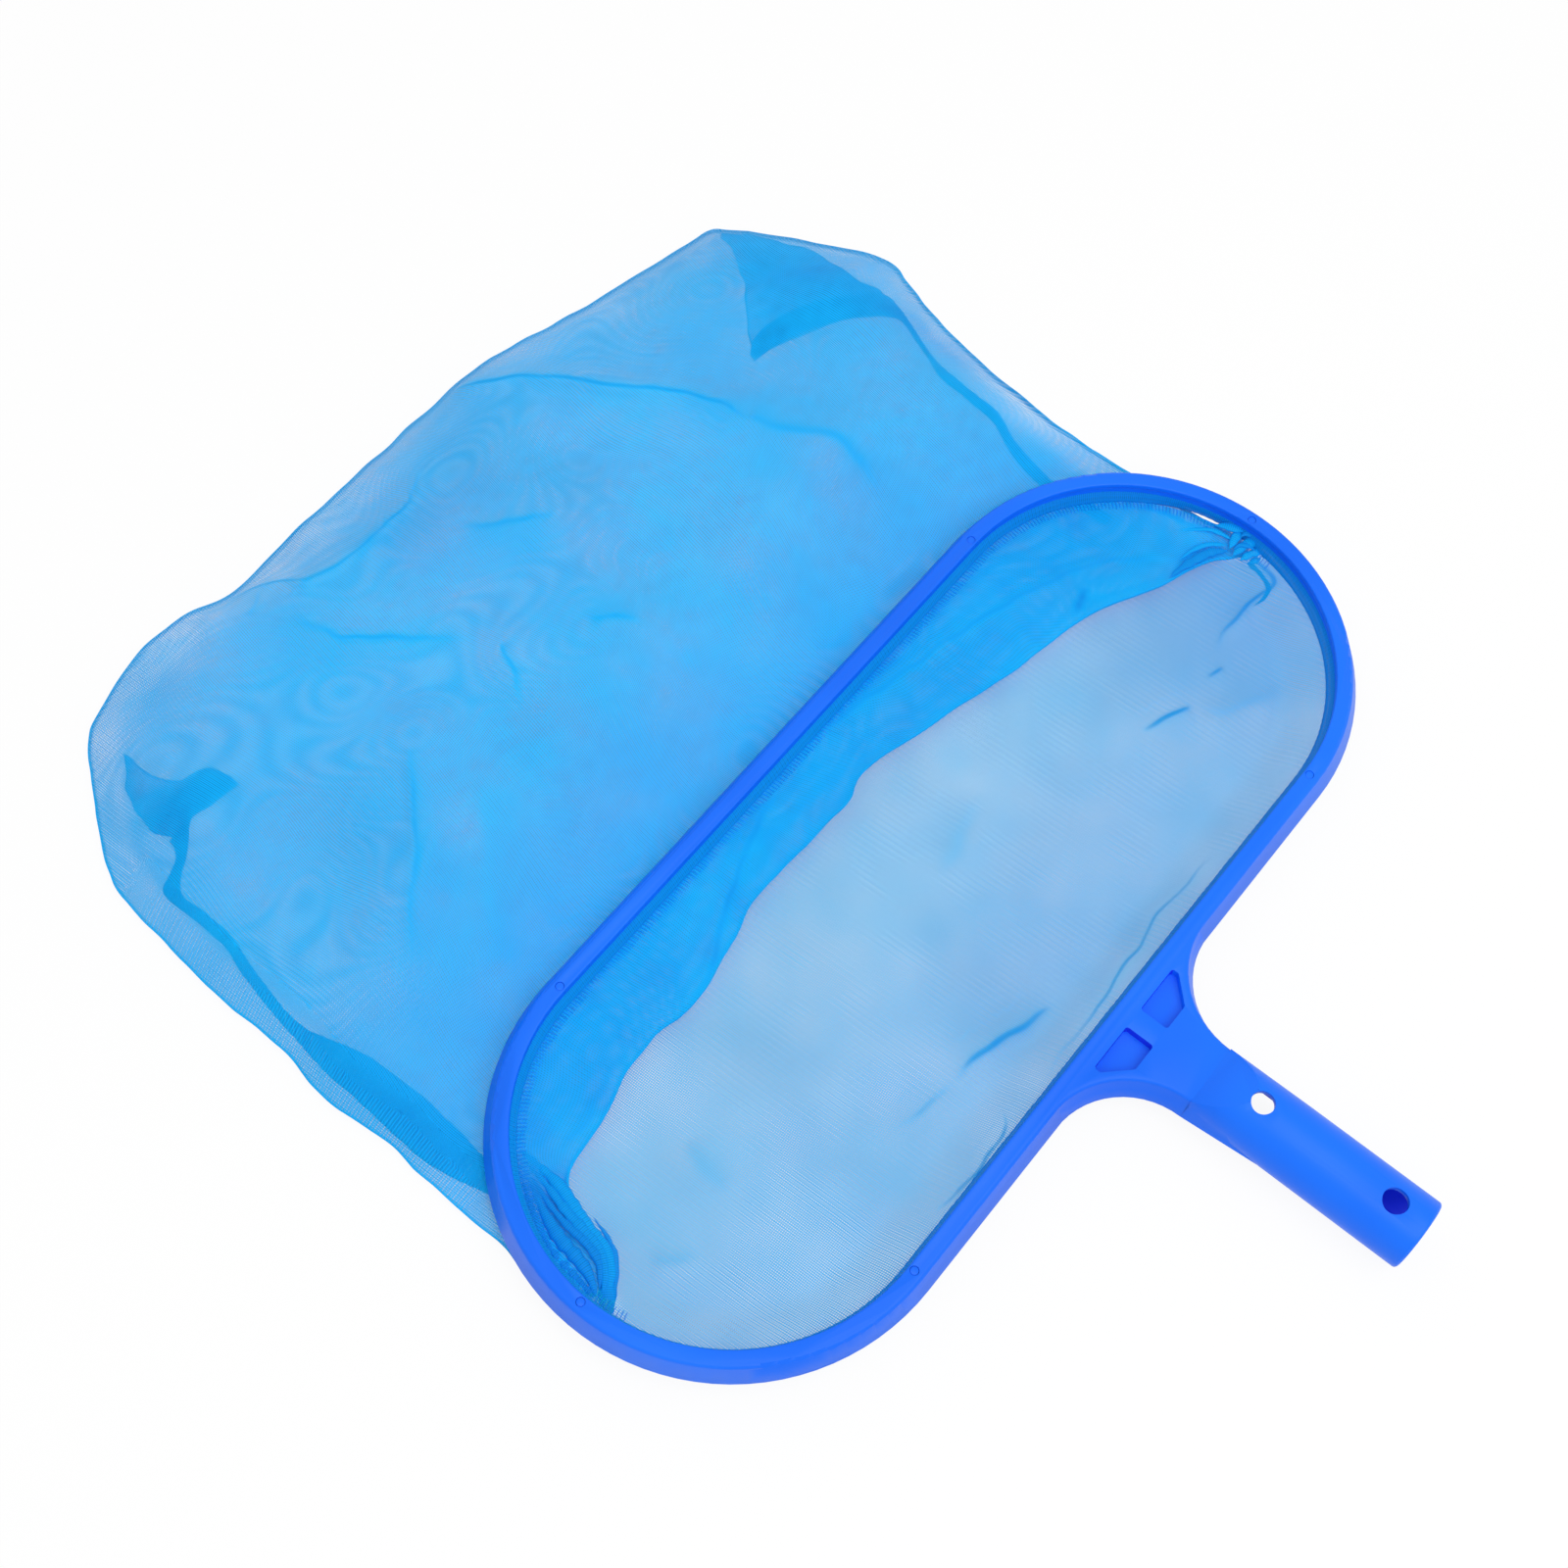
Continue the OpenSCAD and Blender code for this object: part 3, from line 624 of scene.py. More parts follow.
def netMaterial(name, s, look):
    mat, tree, shader = newMaterial(name, look["light"])
    place = put(tree, "ShaderNodeTexCoord").outputs["Object"]
    threads = put(tree, "ShaderNodeUVMap", uv_map="threads").outputs["UV"]
    painted = {label: put(tree, "ShaderNodeAttribute", attribute_name=label).outputs["Fac"]
               for label in ("cover", "paintedShade", "line", "weight", "edge")}
    weave = placeGroup(tree, openWeave, {
        "Threads": threads, "Pitch": s["pitch"], "Openness": look["openness"], "Across": look["across"],
        "Along": look["along"], "Rib Pitch": look["ribPitch"], "Rib": look["rib"]})
    tone = placeGroup(tree, softTone, {
        "Place": place, "Scale": s["toneScale"], "Dark": look["dark"], "Light": look["light"]})
    folds = placeGroup(tree, foldLines, {
        "Line": painted["line"], "Weight": painted["weight"], "Edge": painted["edge"],
        "Edge Width": s["edgeWidth"], "Edge Weight": s["edgeWeight"]})
    # painted shade: the colour goes towards the deep blue along creases and edges and where the shade field
    # says
    shadeAmount = mathNode(tree, "MULTIPLY_ADD", folds["Extra"], s["lineShade"], painted["paintedShade"], clamp=True)
    shadeMixed = put(tree, "ShaderNodeMix", {0: shadeAmount, 6: tone["Color"], 7: s["deepShade"]}, data_type="RGBA")
    # cover 1 is the plain weave, more closes its holes and less opens them
    holes = mathNode(tree, "SUBTRACT", 1.0, weave["Cover"])
    total = mathNode(tree, "ADD", painted["cover"], folds["Extra"])
    closed = mathNode(tree, "POWER", mathNode(tree, "MAXIMUM", holes, s["leastHole"]), total)
    solid = mathNode(tree, "SUBTRACT", 1.0, closed, clamp=True)
    # thin threads let part of the light through
    path = put(tree, "ShaderNodeLightPath").outputs
    lit = mathNode(tree, "MULTIPLY_ADD", path["Is Shadow Ray"], s["shadowCover"] - 1, 1.0)
    fill(tree, shader, {
        "Base Color": shadeMixed.outputs[2], "Alpha": mathNode(tree, "MULTIPLY", solid, lit),
        "Normal": bumpNormal(tree, weave["Relief"], s), "Roughness": s["roughness"],
        "Sheen Weight": s["sheen"], "Sheen Roughness": s["sheenRoughness"],
        "Specular IOR Level": s["shine"]})
    return mat


upperCloth = netMaterial("upperCloth", cloth, cloth["upper"])
lowerShadedCloth = netMaterial("lowerShadedCloth", cloth, cloth["lower"])
foldedCloth = netMaterial("foldedCloth", cloth, cloth["folded"])

lowerCreases = [
    crease([(133, -73), (122, -68), (110, -63)], rise=2.0, left=6, right=2.2, dark=2.4, line=0.9, band=7,
           shade=0.25, fadeOut=0.5),
    crease([(133, -73), (138, -82), (152, -91), (167, -96)], rise=1.4, left=9, right=6, dark=0.25,
           line=1.6, band=6, shade=0.15),
    crease([(156, -73), (148, -69)], rise=1.0, left=4, right=2, dark=1.8, line=0.8),
    crease([(203, -52), (202.7, -57.4), (201, -62.4), (198.5, -66.1), (193, -66), (186, -63.4),
            (178, -62.2), (168.3, -63.3), (159, -66)],
           rise=1.6, left=4, right=3, dark=1.9, line=0.8, band=6, shade=0.3, bandSide=-1, fadeIn=0.02,
           fadeOut=0.5),
    crease([(-8, -105), (-24, -101), (-44, -95), (-57, -94.6)], rise=2.4, left=2.5, right=7, dark=2.6,
           line=1.05, band=10, shade=0.2, bandSide=-1),
    crease([(-57, -94.5), (-71, -92), (-86, -89)], rise=0.8, left=3, right=6, dark=0.5, line=1.0),
    crease([(83, -118), (53, -115), (25, -117), (-3, -119.5), (-28, -120), (-40, -120.6)], rise=0.7,
           left=2, right=3, dark=1.3, line=0.6),
    crease([(-56, -115.5), (-61, -120.6), (-72.5, -122), (-88, -122), (-104, -120)], rise=0.8, left=2,
           right=3, dark=1.6, line=0.6),
    crease([(6, -39), (19, -38), (29, -34), (49, -31.5)], rise=1.8, left=9, right=9, dark=0.1, line=3,
           band=9, shade=0.16),
    crease([(-138, -31), (-143, -43), (-143, -58)], rise=1.8, left=8, right=8, dark=0.12, line=3, band=8,
           shade=0.22),
    crease([(-182, -50), (-168, -64)], rise=1.4, left=6, right=6, dark=0.2, line=2, band=6, shade=0.15),
]
# the first, dense oval stands in for the shade at the mouth's right end
lowerTones = [
    (182, -62, 52, 48, -20, 0.44), (60, -60, 60, 30, 0, -0.04), (60, -95, 80, 24, 0, 0.17),
    (-105, -80, 40, 24, 20, -0.06), (-75, -48, 50, 16, 0, 0.08), (-10, -106, 60, 9, -6, 0.16),
    (-167, -72, 26, 24, 0, 0.12), (-206, 90, 90, 12, 88, 0.32), (-60, 225, 150, 50, 0, -0.16),
    (-165, 140, 26, 80, 0, -0.08), (110, 180, 70, 50, 0, -0.14), (214, 140, 12, 46, -8, -0.26),
    (206, 60, 10, 34, 0, -0.6),
]
# painted shade over the lower sheet, darker at the mouth's right end and on its handle's side
lowerShades = [
    (188, -62, 62, 52, -20, 0.36), (30, -84, 130, 44, 0, 0.22),
]


def sideThin(rim, s):
    # the cloth outside the seams lies slack and shows more of the ground
    return s["rimCover"] + (1 - s["rimCover"]) * ease((rim - s["rimFrom"]) / (s["rimTo"] - s["rimFrom"]))


def rolledRim(z, rim, s):
    # the cloth's outline rolls up to the height of the rim
    roll = np.clip(1 - rim / s["rimRadius"], 0, 1)
    return z + (s["rimZ"] - z) * (1 - np.sqrt(np.maximum(0, 1 - roll ** 2)))


def turnThreads(threads, degrees):
    # places along and across the threads, in metres, turned a little off the plan's axes
    a = math.radians(degrees)
    return threads @ np.array([[math.cos(a), -math.sin(a)], [math.sin(a), math.cos(a)]]) * mm


edgeSlack = {"spacing": 5, "fewest": 12, "wave": 20, "size": 0.22, "hold": 12}


def slack(points, seed, s):
    # an outline that wanders a little, as cut cloth does, with its ends kept
    length = np.linalg.norm(np.diff(np.array(points), axis=0), axis=1).sum()
    fine = softCurve(points, max(s["fewest"], int(length / s["spacing"])))
    share = np.linspace(0, 1, len(fine))
    hold = np.clip(np.minimum(share, 1 - share) * s["hold"], 0, 1)[:, None]
    return [tuple(p) for p in fine + wander(fine, seed, s["wave"], s["size"]) * hold]


leftSide, farEdge, rightSide, foldLine = (
    slack(edge, seed, edgeSlack)
    for edge, seed in ((leftSide, 301), (farEdge, 303), (rightSide, 305), (foldLine, 307)))
outline = np.vstack([
    softCurve(leftSide, 160)[:-1], softCurve(farEdge, 200)[:-1], softCurve(rightSide, 160)[::-1]])


def clothSides(start, rows):
    # the cloth's left and right sides, from the ends of its near edge to the bag's far corners
    left, right = [tuple(start[0])] + leftSide[1:], [tuple(start[-1])] + rightSide[1:]
    return softCurve(left, rows), softCurve(right, rows)


def lowerNet(s):
    cols, rows = s["columns"], s["lowerRows"]
    start = halfOval(cols, s["hemRadius"], -1)
    plan = coonsPatch(start, softCurve(farEdge, cols), *clothSides(start, rows)).reshape(-1, 2)
    hemGap = pathDistance(plan, halfOval(160, s["hemRadius"], -1))[0]
    rim = pathDistance(plan, outline)[0]
    rise, cover, line, weight = creaseField(plan, lowerCreases, 400)
    rise = rise * ease(hemGap / s["hemHold"])
    rise = rise + s["mouthLift"] * (1 + waves(plan, s["mouthWaves"])) * ease(hemGap / s["mouthReach"])
    z = rolledRim(s["floorZ"] + rise, rim, s)
    z = z + (s["hemZ"] - z) * (1 - ease(hemGap / s["dropLength"]))
    cover = (1 + cover + toneField(plan, lowerTones) + waves(plan, s["lowerCover"])) * sideThin(rim, s)
    paintedShade = np.clip(toneField(plan, lowerShades), 0, 1)
    fields = {"cover": cover, "paintedShade": paintedShade, "line": line, "weight": weight, "edge": rim}
    points, threads = np.column_stack([plan, z]) * mm, turnThreads(plan, s["lowerTurn"])
    return makeMesh("lower_net", points, gridFaces(rows, cols), fields, threads, lowerShadedCloth)


upperCreases = [
    crease([(46, 252), (50, 243), (56, 234), (68.5, 214.5), (77, 191.5), (90.5, 172.6), (98, 156.6),
            (103, 138)],
           rise=2.6, left=9, right=4, dark=2.4, line=0.95, fadeIn=0.02, fadeOut=0.12, band=11,
           shade=0.43, bandSide=-1),
    crease([(103, 138), (109, 121), (119.5, 103.5), (120, 78)], rise=1.6, left=8, right=5, dark=1.0,
           line=1.8, band=11, shade=0.46, fadeIn=0.05),
    crease([(-68, 224), (-47, 221), (-18.7, 220.8), (-7.5, 225.6), (8, 230.5)], rise=2.0, left=8, right=3,
           dark=1.5, line=0.65, band=8, shade=0.43, bandSide=-1, fadeIn=0.02),
    crease([(-68, 224), (-70, 234), (-76, 243.4), (-87, 256)], rise=1.6, left=4, right=6, dark=2.0,
           line=0.65, fadeIn=0.02, fadeOut=0.05, band=8, shade=0.36),
    crease([(-83.6, 219.8), (-81.5, 205), (-77, 190), (-65, 176), (-55, 163), (-44, 151)], rise=2.2,
           left=4, right=10, dark=1.7, line=1.1, band=12, shade=0.41, bandSide=-1),
    crease([(-12, 194.5), (-6, 185), (7, 174.5), (21, 165)], rise=2.0, left=5, right=8, dark=1.0,
           line=1.2, band=9, shade=0.43, bandSide=-1),
    crease([(-9, 130.6), (-3, 121), (5, 110)], rise=1.4, left=4, right=6, dark=1.3, line=1.1, band=8,
           shade=0.36),
    crease([(-39, 146.7), (-44, 138.5), (-48.7, 129.7), (-53.7, 121.6)], rise=1.6, left=3, right=8,
           dark=1.5, line=0.8, band=7, shade=0.36),
    crease([(-93.5, 143.4), (-105, 132), (-115, 121), (-128, 108), (-143, 97), (-160, 83)], rise=2.0,
           left=8, right=3, dark=1.2, line=1.0, band=9, shade=0.36),
    crease([(-83, 115), (-104, 95), (-124, 75), (-131, 62)], rise=1.6, left=9, right=9, dark=0.1, line=3,
           band=12, shade=0.29),
    crease([(-92, 232), (-84, 238), (-76, 242)], rise=0.8, left=4, right=4, dark=0.7, line=0.8),
]
upperTones = [
    (-30, 248, 60, 18, 0, -0.3), (75, 244, 40, 16, -10, -0.26), (-130, 250, 46, 26, 20, -0.46),
    (-165, 208, 40, 24, 65, -0.16), (-30, 231, 36, 12, 0, -0.2), (50, 229, 30, 10, 0, -0.14),
    (-186, 222, 24, 14, 62, 0.45), (-148, 180, 26, 20, 0, 0.3), (20, 257, 30, 7, 0, 0.34),
    (130, 218, 40, 18, -20, -0.1), (-52, 108, 60, 14, 0, -0.1), (192, 116, 18, 34, 0, 0.12),
    (103, 150, 12, 20, 0, 0.12), (-33, 168, 14, 12, 0, -0.25), (-180, 120, 60, 16, 80, -0.18),
    (90, 205, 26, 22, -50, -0.14), (130, 120, 50, 30, -60, -0.06), (214, 140, 12, 46, -8, -0.24),
    (206, 60, 10, 34, 0, -0.5), (49, 167, 40, 22, 0, -0.18), (0, 52, 180, 16, 0, 0.4),
    (-206, 90, 90, 12, 88, 0.32), (60, 60, 90, 16, 0, 0.1), (-80, 66, 70, 22, 0, 0.2),
    (-120, 40, 60, 14, 0, 0.1), (150, 60, 40, 20, -20, 0.08),
]
# painted shade over the upper sheet
upperShades = [
    (-198, 55, 9, 46, 2, 0.24), (190, 171, 30, 6, -24, 0.18), (201, 112, 8, 40, 14, 0.26),
    (-90, 64, 80, 18, 5, 0.16), (-35, 84, 34, 20, 0, 0.1), (-10, 205, 34, 14, -10, 0.12),
    (60, 55, 60, 16, 0, 0.05),
]
tuckTones = [
    (-150, 20, 40, 16, 10, 0.28), (-50, 15, 60, 12, 0, -0.1), (86, 4, 60, 12, -10, 0.25),
    (203, -25.5, 7, 1.6, -74, -0.5), (204.4, -38.5, 5, 1.4, -85, -0.5),
]
# painted shade over the tucked sheet, deepest by the left gather
tuckShades = [
    (-190, -8, 34, 12, -68, 0.66), (-50, 14, 60, 10, 0, 0.1), (188, -36, 16, 8, -30, 0.25),
    (-150, 14, 50, 18, 5, 0.22), (86, 6, 60, 12, -8, 0.2), (150, 8, 44, 16, -20, 0.16),
    (60, 36, 90, 5, -4, 0.12),
]

tuckCreases = [
    crease([(-2, 33), (-30, 25), (-64, 13), (-85, 2), (-114, 2)], rise=0.7, left=3, right=3, dark=1.9,
           line=1.3, band=8, shade=0.51),
    crease([(-3, 36), (36, 31), (68, 24.5), (116, 13), (157.5, -4), (177, -22.5), (198, -44)], rise=0.8,
           left=4, right=3, dark=1.7, line=1.17, band=9, shade=0.51),
    crease([(148, -7), (140, -10), (131, -13)], rise=0.6, left=3, right=2, dark=3.4, line=1.82, band=8,
           shade=0.68),
    crease([(-137, 33), (-60, 34.5), (0, 34.5), (80, 34.5), (135, 33)], rise=0.3, left=2, right=2,
           dark=1.4, line=1.04),
    crease([(181, 12), (194, -8), (203, -42)], rise=0.4, left=2, right=2, dark=1.5, line=1.04),
    crease([(-171, 2), (-160, -1), (-148, 4)], rise=0.5, left=3, right=3, dark=1.4, line=1.3),
    crease([(-60, 28), (-20, 20), (20, 16), (50, 8)], rise=0.5, left=5, right=5, dark=0.51, line=2.08,
           band=8, shade=0.34),
]


def topHeight(plan, rim, rise, s):
    # the bag's crown, ridges and creases over its upper sheet
    fromRing = pathDistance(plan, np.array([(-barHalf, ringY), (barHalf, ringY)]))[0]
    fade = 1 - (1 - np.clip(rim / s["crownWidth"], 0, 1)) ** s["crownPower"]
    low = 1 - (1 - np.clip(rim / s["footWidth"], 0, 1)) ** s["footPower"]
    front = ease((fromRing - s["riseFrom"]) / s["riseLength"])
    ridge = np.zeros(len(plan))
    for a, b in s["ridges"]:
        gap = pathDistance(plan, np.array([a, b], float))[0]
        ridge = np.maximum(ridge, s["ridgeHeight"] * np.exp(-(gap / s["ridgeReach"]) ** 2))
    z = s["rimZ"] + (s["foldZ"] - s["rimZ"]) * low
    z = z + ((s["crown"] - s["foldZ"]) * fade + ridge * ease(rim / s["ridgeReach"])) * front
    held = np.minimum(front * 2, 1) * np.clip(rim / s["rimHold"], 0, 1)
    z = z + (rise + waves(plan, s["topWaves"])) * held
    return rolledRim(z, rim, s)


def tuckSheet(fold, hem, roof, s):
    # the sheet that comes back from the far bar's hem to the fold
    share = np.linspace(0, 1, s["tuckRows"])[:, None]
    grid = hem[None] + (fold - hem)[None] * share[..., None]
    plan = grid.reshape(-1, 2)
    rise, cover, line, weight = creaseField(plan, tuckCreases, 600)
    quiet = np.clip(np.minimum(share, 1 - share) * s["tuckHold"], 0, 1)
    z = s["hemZ"] + (roof[None] - s["hemZ"]) * ease(share)
    z = z + (rise + waves(plan, s["tuckWaves"])).reshape(z.shape) * quiet
    cover = s["tuckDensity"] + cover + toneField(plan, tuckTones) + waves(plan, s["tuckCover"])
    paintedShade = s["tuckBaseShade"] + toneField(plan, tuckShades) + np.maximum(waves(plan, s["tuckShadeWaves"]), 0)
    return np.dstack([grid, z]), {"cover": cover, "paintedShade": paintedShade, "line": line, "weight": weight}


def foldTurns(fold, hem, low, s):
    # the half turn in which the sheet folds over, from the tuck down to the upper sheet
    back = hem - fold
    span = np.maximum(np.linalg.norm(back, axis=1), s["leastSpan"])
    into = -back / span[:, None]
    turns = []
    for a in np.linspace(math.pi / 2, -math.pi / 2, s["foldRows"] + 2)[1:-1]:
        out = fold + into * s["foldRound"] * math.cos(a) * np.minimum(1, span / s["fullSpan"])[:, None]
        turns.append(np.column_stack([out, low + s["foldRound"] * (1 + math.sin(a))]))
    return np.array(turns)


def upperThreads(place, run, besideSeam, s):
    # beside the left seam the threads lie the other way, across the strip
    x, y = place[:, 0], place[:, 1]
    across, along = x + waves(place, s["threadAcross"]), run + waves(place, s["threadAlong"])
    low, high = s["ribEnds"]
    turned = (1 - ease((besideSeam - s["ribEdge"]) / s["ribBlend"])) * (x < s["ribLeftOf"])
    turned = turned * ease((y - low) / s["ribFade"]) * ease((high - y) / s["ribFade"])
    across = across + turned * (s["sideRib"] * y - across)
    return turnThreads(np.column_stack([across, along]), s["upperTurn"])


def upperNet(s):
    cols, rows = s["columns"], s["upperRows"]
    fold, hem = softCurve(foldLine, cols), halfOval(cols, s["hemRadius"], 1)
    top = coonsPatch(fold, softCurve(farEdge, cols), *clothSides(fold, rows))
    plan = top.reshape(-1, 2)
    rim = pathDistance(plan, outline)[0]
    rise, cover, line, weight = creaseField(plan, upperCreases, 500)
    topGrid = np.dstack([top, topHeight(plan, rim, rise, s).reshape(rows, cols)])
    cover = (1 + cover + toneField(plan, upperTones) + waves(plan, s["upperCover"])) * sideThin(rim, s)
    topFields = {"cover": cover, "paintedShade": toneField(plan, upperShades), "line": line, "weight": weight}
    low = topGrid[0, :, 2]
    tuckGrid, tuckFields = tuckSheet(fold, hem, low + 2 * s["foldRound"], s)
    turns = foldTurns(fold, hem, low, s)
    grid = np.concatenate([tuckGrid, turns, topGrid])

    # along the fold the cloth is one closed roll, dense and with a little painted shade
    rolled = {"cover": s["foldCover"], "paintedShade": s["foldShade"], "line": noLine, "weight": 0.0}
    between = len(turns) * cols
    fields = {k: np.concatenate([tuckFields[k], np.full(between, rolled[k]), topFields[k]]) for k in rolled}
    fields["paintedShade"] = np.clip(fields["paintedShade"], 0, 1)
    before = len(tuckGrid) * cols + between
    steps = np.linalg.norm(np.diff(grid, axis=0), axis=2)
    run = np.concatenate([np.zeros((1, cols)), np.cumsum(steps, 0)])
    fromFold = run - run[before // cols]
    rimGap = np.concatenate([np.full(before, noLine), rim])
    fields["edge"] = np.minimum(rimGap, np.minimum(np.abs(fromFold).reshape(-1) * s["foldEdge"], noLine))
    place = grid[..., :2].reshape(-1, 2)
    besideSeam = np.concatenate([np.full(before, np.inf), rim])
    threads = upperThreads(place, (fromFold + fold[:, 1]).reshape(-1), besideSeam, s)
    faces = gridFaces(len(grid), cols)
    return makeMesh("upper_net", grid.reshape(-1, 3) * mm, faces, fields, threads, upperCloth)


lower = lowerNet(bag)
upper = upperNet(bag)
print("nets ready", len(lower.data.polygons), len(upper.data.polygons))


# seams and corner folds, each a flattened tube of the same cloth

seams = {
    "left": {
        "outer": [(-175.5, 200), (-176.2, 196.5), (-180.1, 192.5), (-187.1, 189.5), (-191.8, 186.5),
                  (-192.9, 177.5), (-192.6, 166), (-193.3, 152.0), (-198.0, 133.6), (-201.8, 110.2),
                  (-204.5, 88.1), (-205.1, 68.4), (-206.2, 47.9), (-205.2, 30.6), (-200.3, 9.3),
                  (-199, -2)],
        "inner": [(-160, 203.5), (-163.6, 201.8), (-168.8, 196.5), (-176.1, 190.6), (-183.9, 185.6),
                  (-188.1, 180.0), (-187.6, 168.8), (-188.3, 153.0), (-194.3, 129.3), (-197.0, 109.0),
                  (-194.4, 97.9), (-190.3, 82.5), (-188.8, 64.7), (-188.5, 46.1), (-189.9, 29.9),
                  (-190.9, 17.8), (-192, -2)],
    },
    "right": {
        "outer": [(150.5, 175.2), (159.9, 179.9), (172.9, 179.2), (184.2, 175.6), (194.5, 170.0),
                  (204.3, 162.0), (214.0, 151.6), (213.3, 141.0), (208.3, 129.2), (203.9, 118.3),
                  (200.2, 106.3), (198.3, 87), (196.5, 73), (189.5, 59), (184, 36), (186, 5)],
        "inner": [(149.3, 171.6), (160.4, 169.9), (172.2, 166.7), (183.7, 161.5), (193.4, 154.8),
                  (201.7, 147.0), (207.1, 140.1), (207.8, 134.8), (204.0, 125.4), (199.0, 113.4),
                  (195.1, 103.7), (193.3, 87), (191.5, 73), (184.5, 59), (178, 36), (180, 5)],
    },
    "z": 1.75, "thick": 1.3, "steps": 620, "round": 12, "wave": 16.0, "waveSize": 0.14, "ribPitch": 2.3,
    "rib": 0.16, "ribShade": 0.24, "cover": 0.95, "innerFade": 0.0,
    "tones": [(-180, 190, 16, 16, 0, 0.9), (-198, 50, 12, 60, 0, 0.5), (200, 110, 14, 44, 0, 0.5)],
    # the shades are painted shade on the seams, darkest at the left corner's stem
    "shades": [(-192, 165, 5, 34, 0, 0.45), (-178, 193, 16, 9, 35, 1.0), (-199, 50, 12, 50, 0, 0.4),
               (185, 170, 40, 20, -25, 0.3), (200, 110, 14, 44, 0, 0.5)],
    "shutLength": 4, "shutTo": 0.12, "bulgePower": 0.6, "heightWave": (18, 0.18), "edgeOff": 0.3,
    "leastCover": 0.1,
}
cornerFolds = {
    "left": {
        "outer": [(-160.6, 241.4), (-167.1, 233.4), (-172.6, 225.2), (-175.6, 215.5), (-176.2, 206),
                  (-172.5, 199), (-167, 197.2), (-161.7, 201.4), (-155, 199.2), (-148.8, 198.3),
                  (-140.4, 198.2)],
        "inner": [(-159.6, 241.0), (-159.9, 229.3), (-159.0, 223.4), (-154.7, 216.4), (-150.8, 215.5),
                  (-147.6, 214.4), (-145.8, 213.3), (-143.2, 210.8), (-141.8, 208.0), (-139.9, 202.8),
                  (-139.6, 199.0)],
    },
    "right": {
        "outer": [(192.6, 226.6), (198.2, 220.4), (204.6, 209.2), (208.6, 200.9), (211.5, 191.9),
                  (212.4, 180), (212.9, 170), (213.6, 161.4), (214.3, 152.5), (211.5, 147)],
        "inner": [(191.2, 226.2), (189.9, 218.5), (184.6, 210.0), (179.6, 203.4), (174.6, 197.7),
                  (169.2, 192.6), (164.2, 188.3), (158.6, 182.6), (153.8, 177.4), (151.2, 173.4)],
    },
    "z": 2.6, "thick": 1.1, "steps": 120, "round": 30, "wave": 14.0, "waveSize": 0.4, "ribPitch": 9.0,
    "rib": 0.1, "ribShade": 0.0, "cover": 0.74, "innerFade": 0.7,
    "tones": [(-168, 224, 14, 9, 62, -0.5), (-150, 207, 20, 8, -8, 1.5)],
    # the shades are painted shade on the corner folds, darkest on the left fold
    "shades": [(-150, 207, 20, 8, -8, 1.0), (-172, 200, 10, 10, 30, 1.0), (-168, 218, 8, 20, -28, 0.3),
               (190, 172, 36, 5, -24, 0.06), (207, 190, 5, 26, 0, 0.06)],
    "shutLength": 4, "shutTo": 0.12, "bulgePower": 0.6, "heightWave": (18, 0.18), "edgeOff": 0.3,
    "leastCover": 0.1,
}


def foldedPiece(name, points, faces, fields, threads):
    # a closed piece of doubled cloth, with its faces turned outwards
    threads = threads.reshape(-1, 2) * mm
    piece = makeMesh(name, points.reshape(-1, 3) * mm, faces, fields, threads, foldedCloth)
    bm = bmesh.new()
    bm.from_mesh(piece.data)
    bmesh.ops.recalc_face_normals(bm, faces=bm.faces)
    bm.to_mesh(piece.data)
    bm.free()
    return piece


def alongAndAcross(run, across):
    # the places of a tube's points along and across the threads
    return np.dstack(np.broadcast_arrays(run[:, None], across)).reshape(-1, 2)


def tubeFaces(n, m, first=0):
    # the faces of a tube of n rings with m points each, and a cap at each end
    i, j = np.arange(n - 1)[:, None] * m + first, np.arange(m)[None]
    k = (j + 1) % m
    faces = np.stack([i + j, i + k, i + m + k, i + m + j], -1).reshape(-1, 4).tolist()
    return faces + [[first + q for q in range(m)][::-1], [first + (n - 1) * m + q for q in range(m)]]


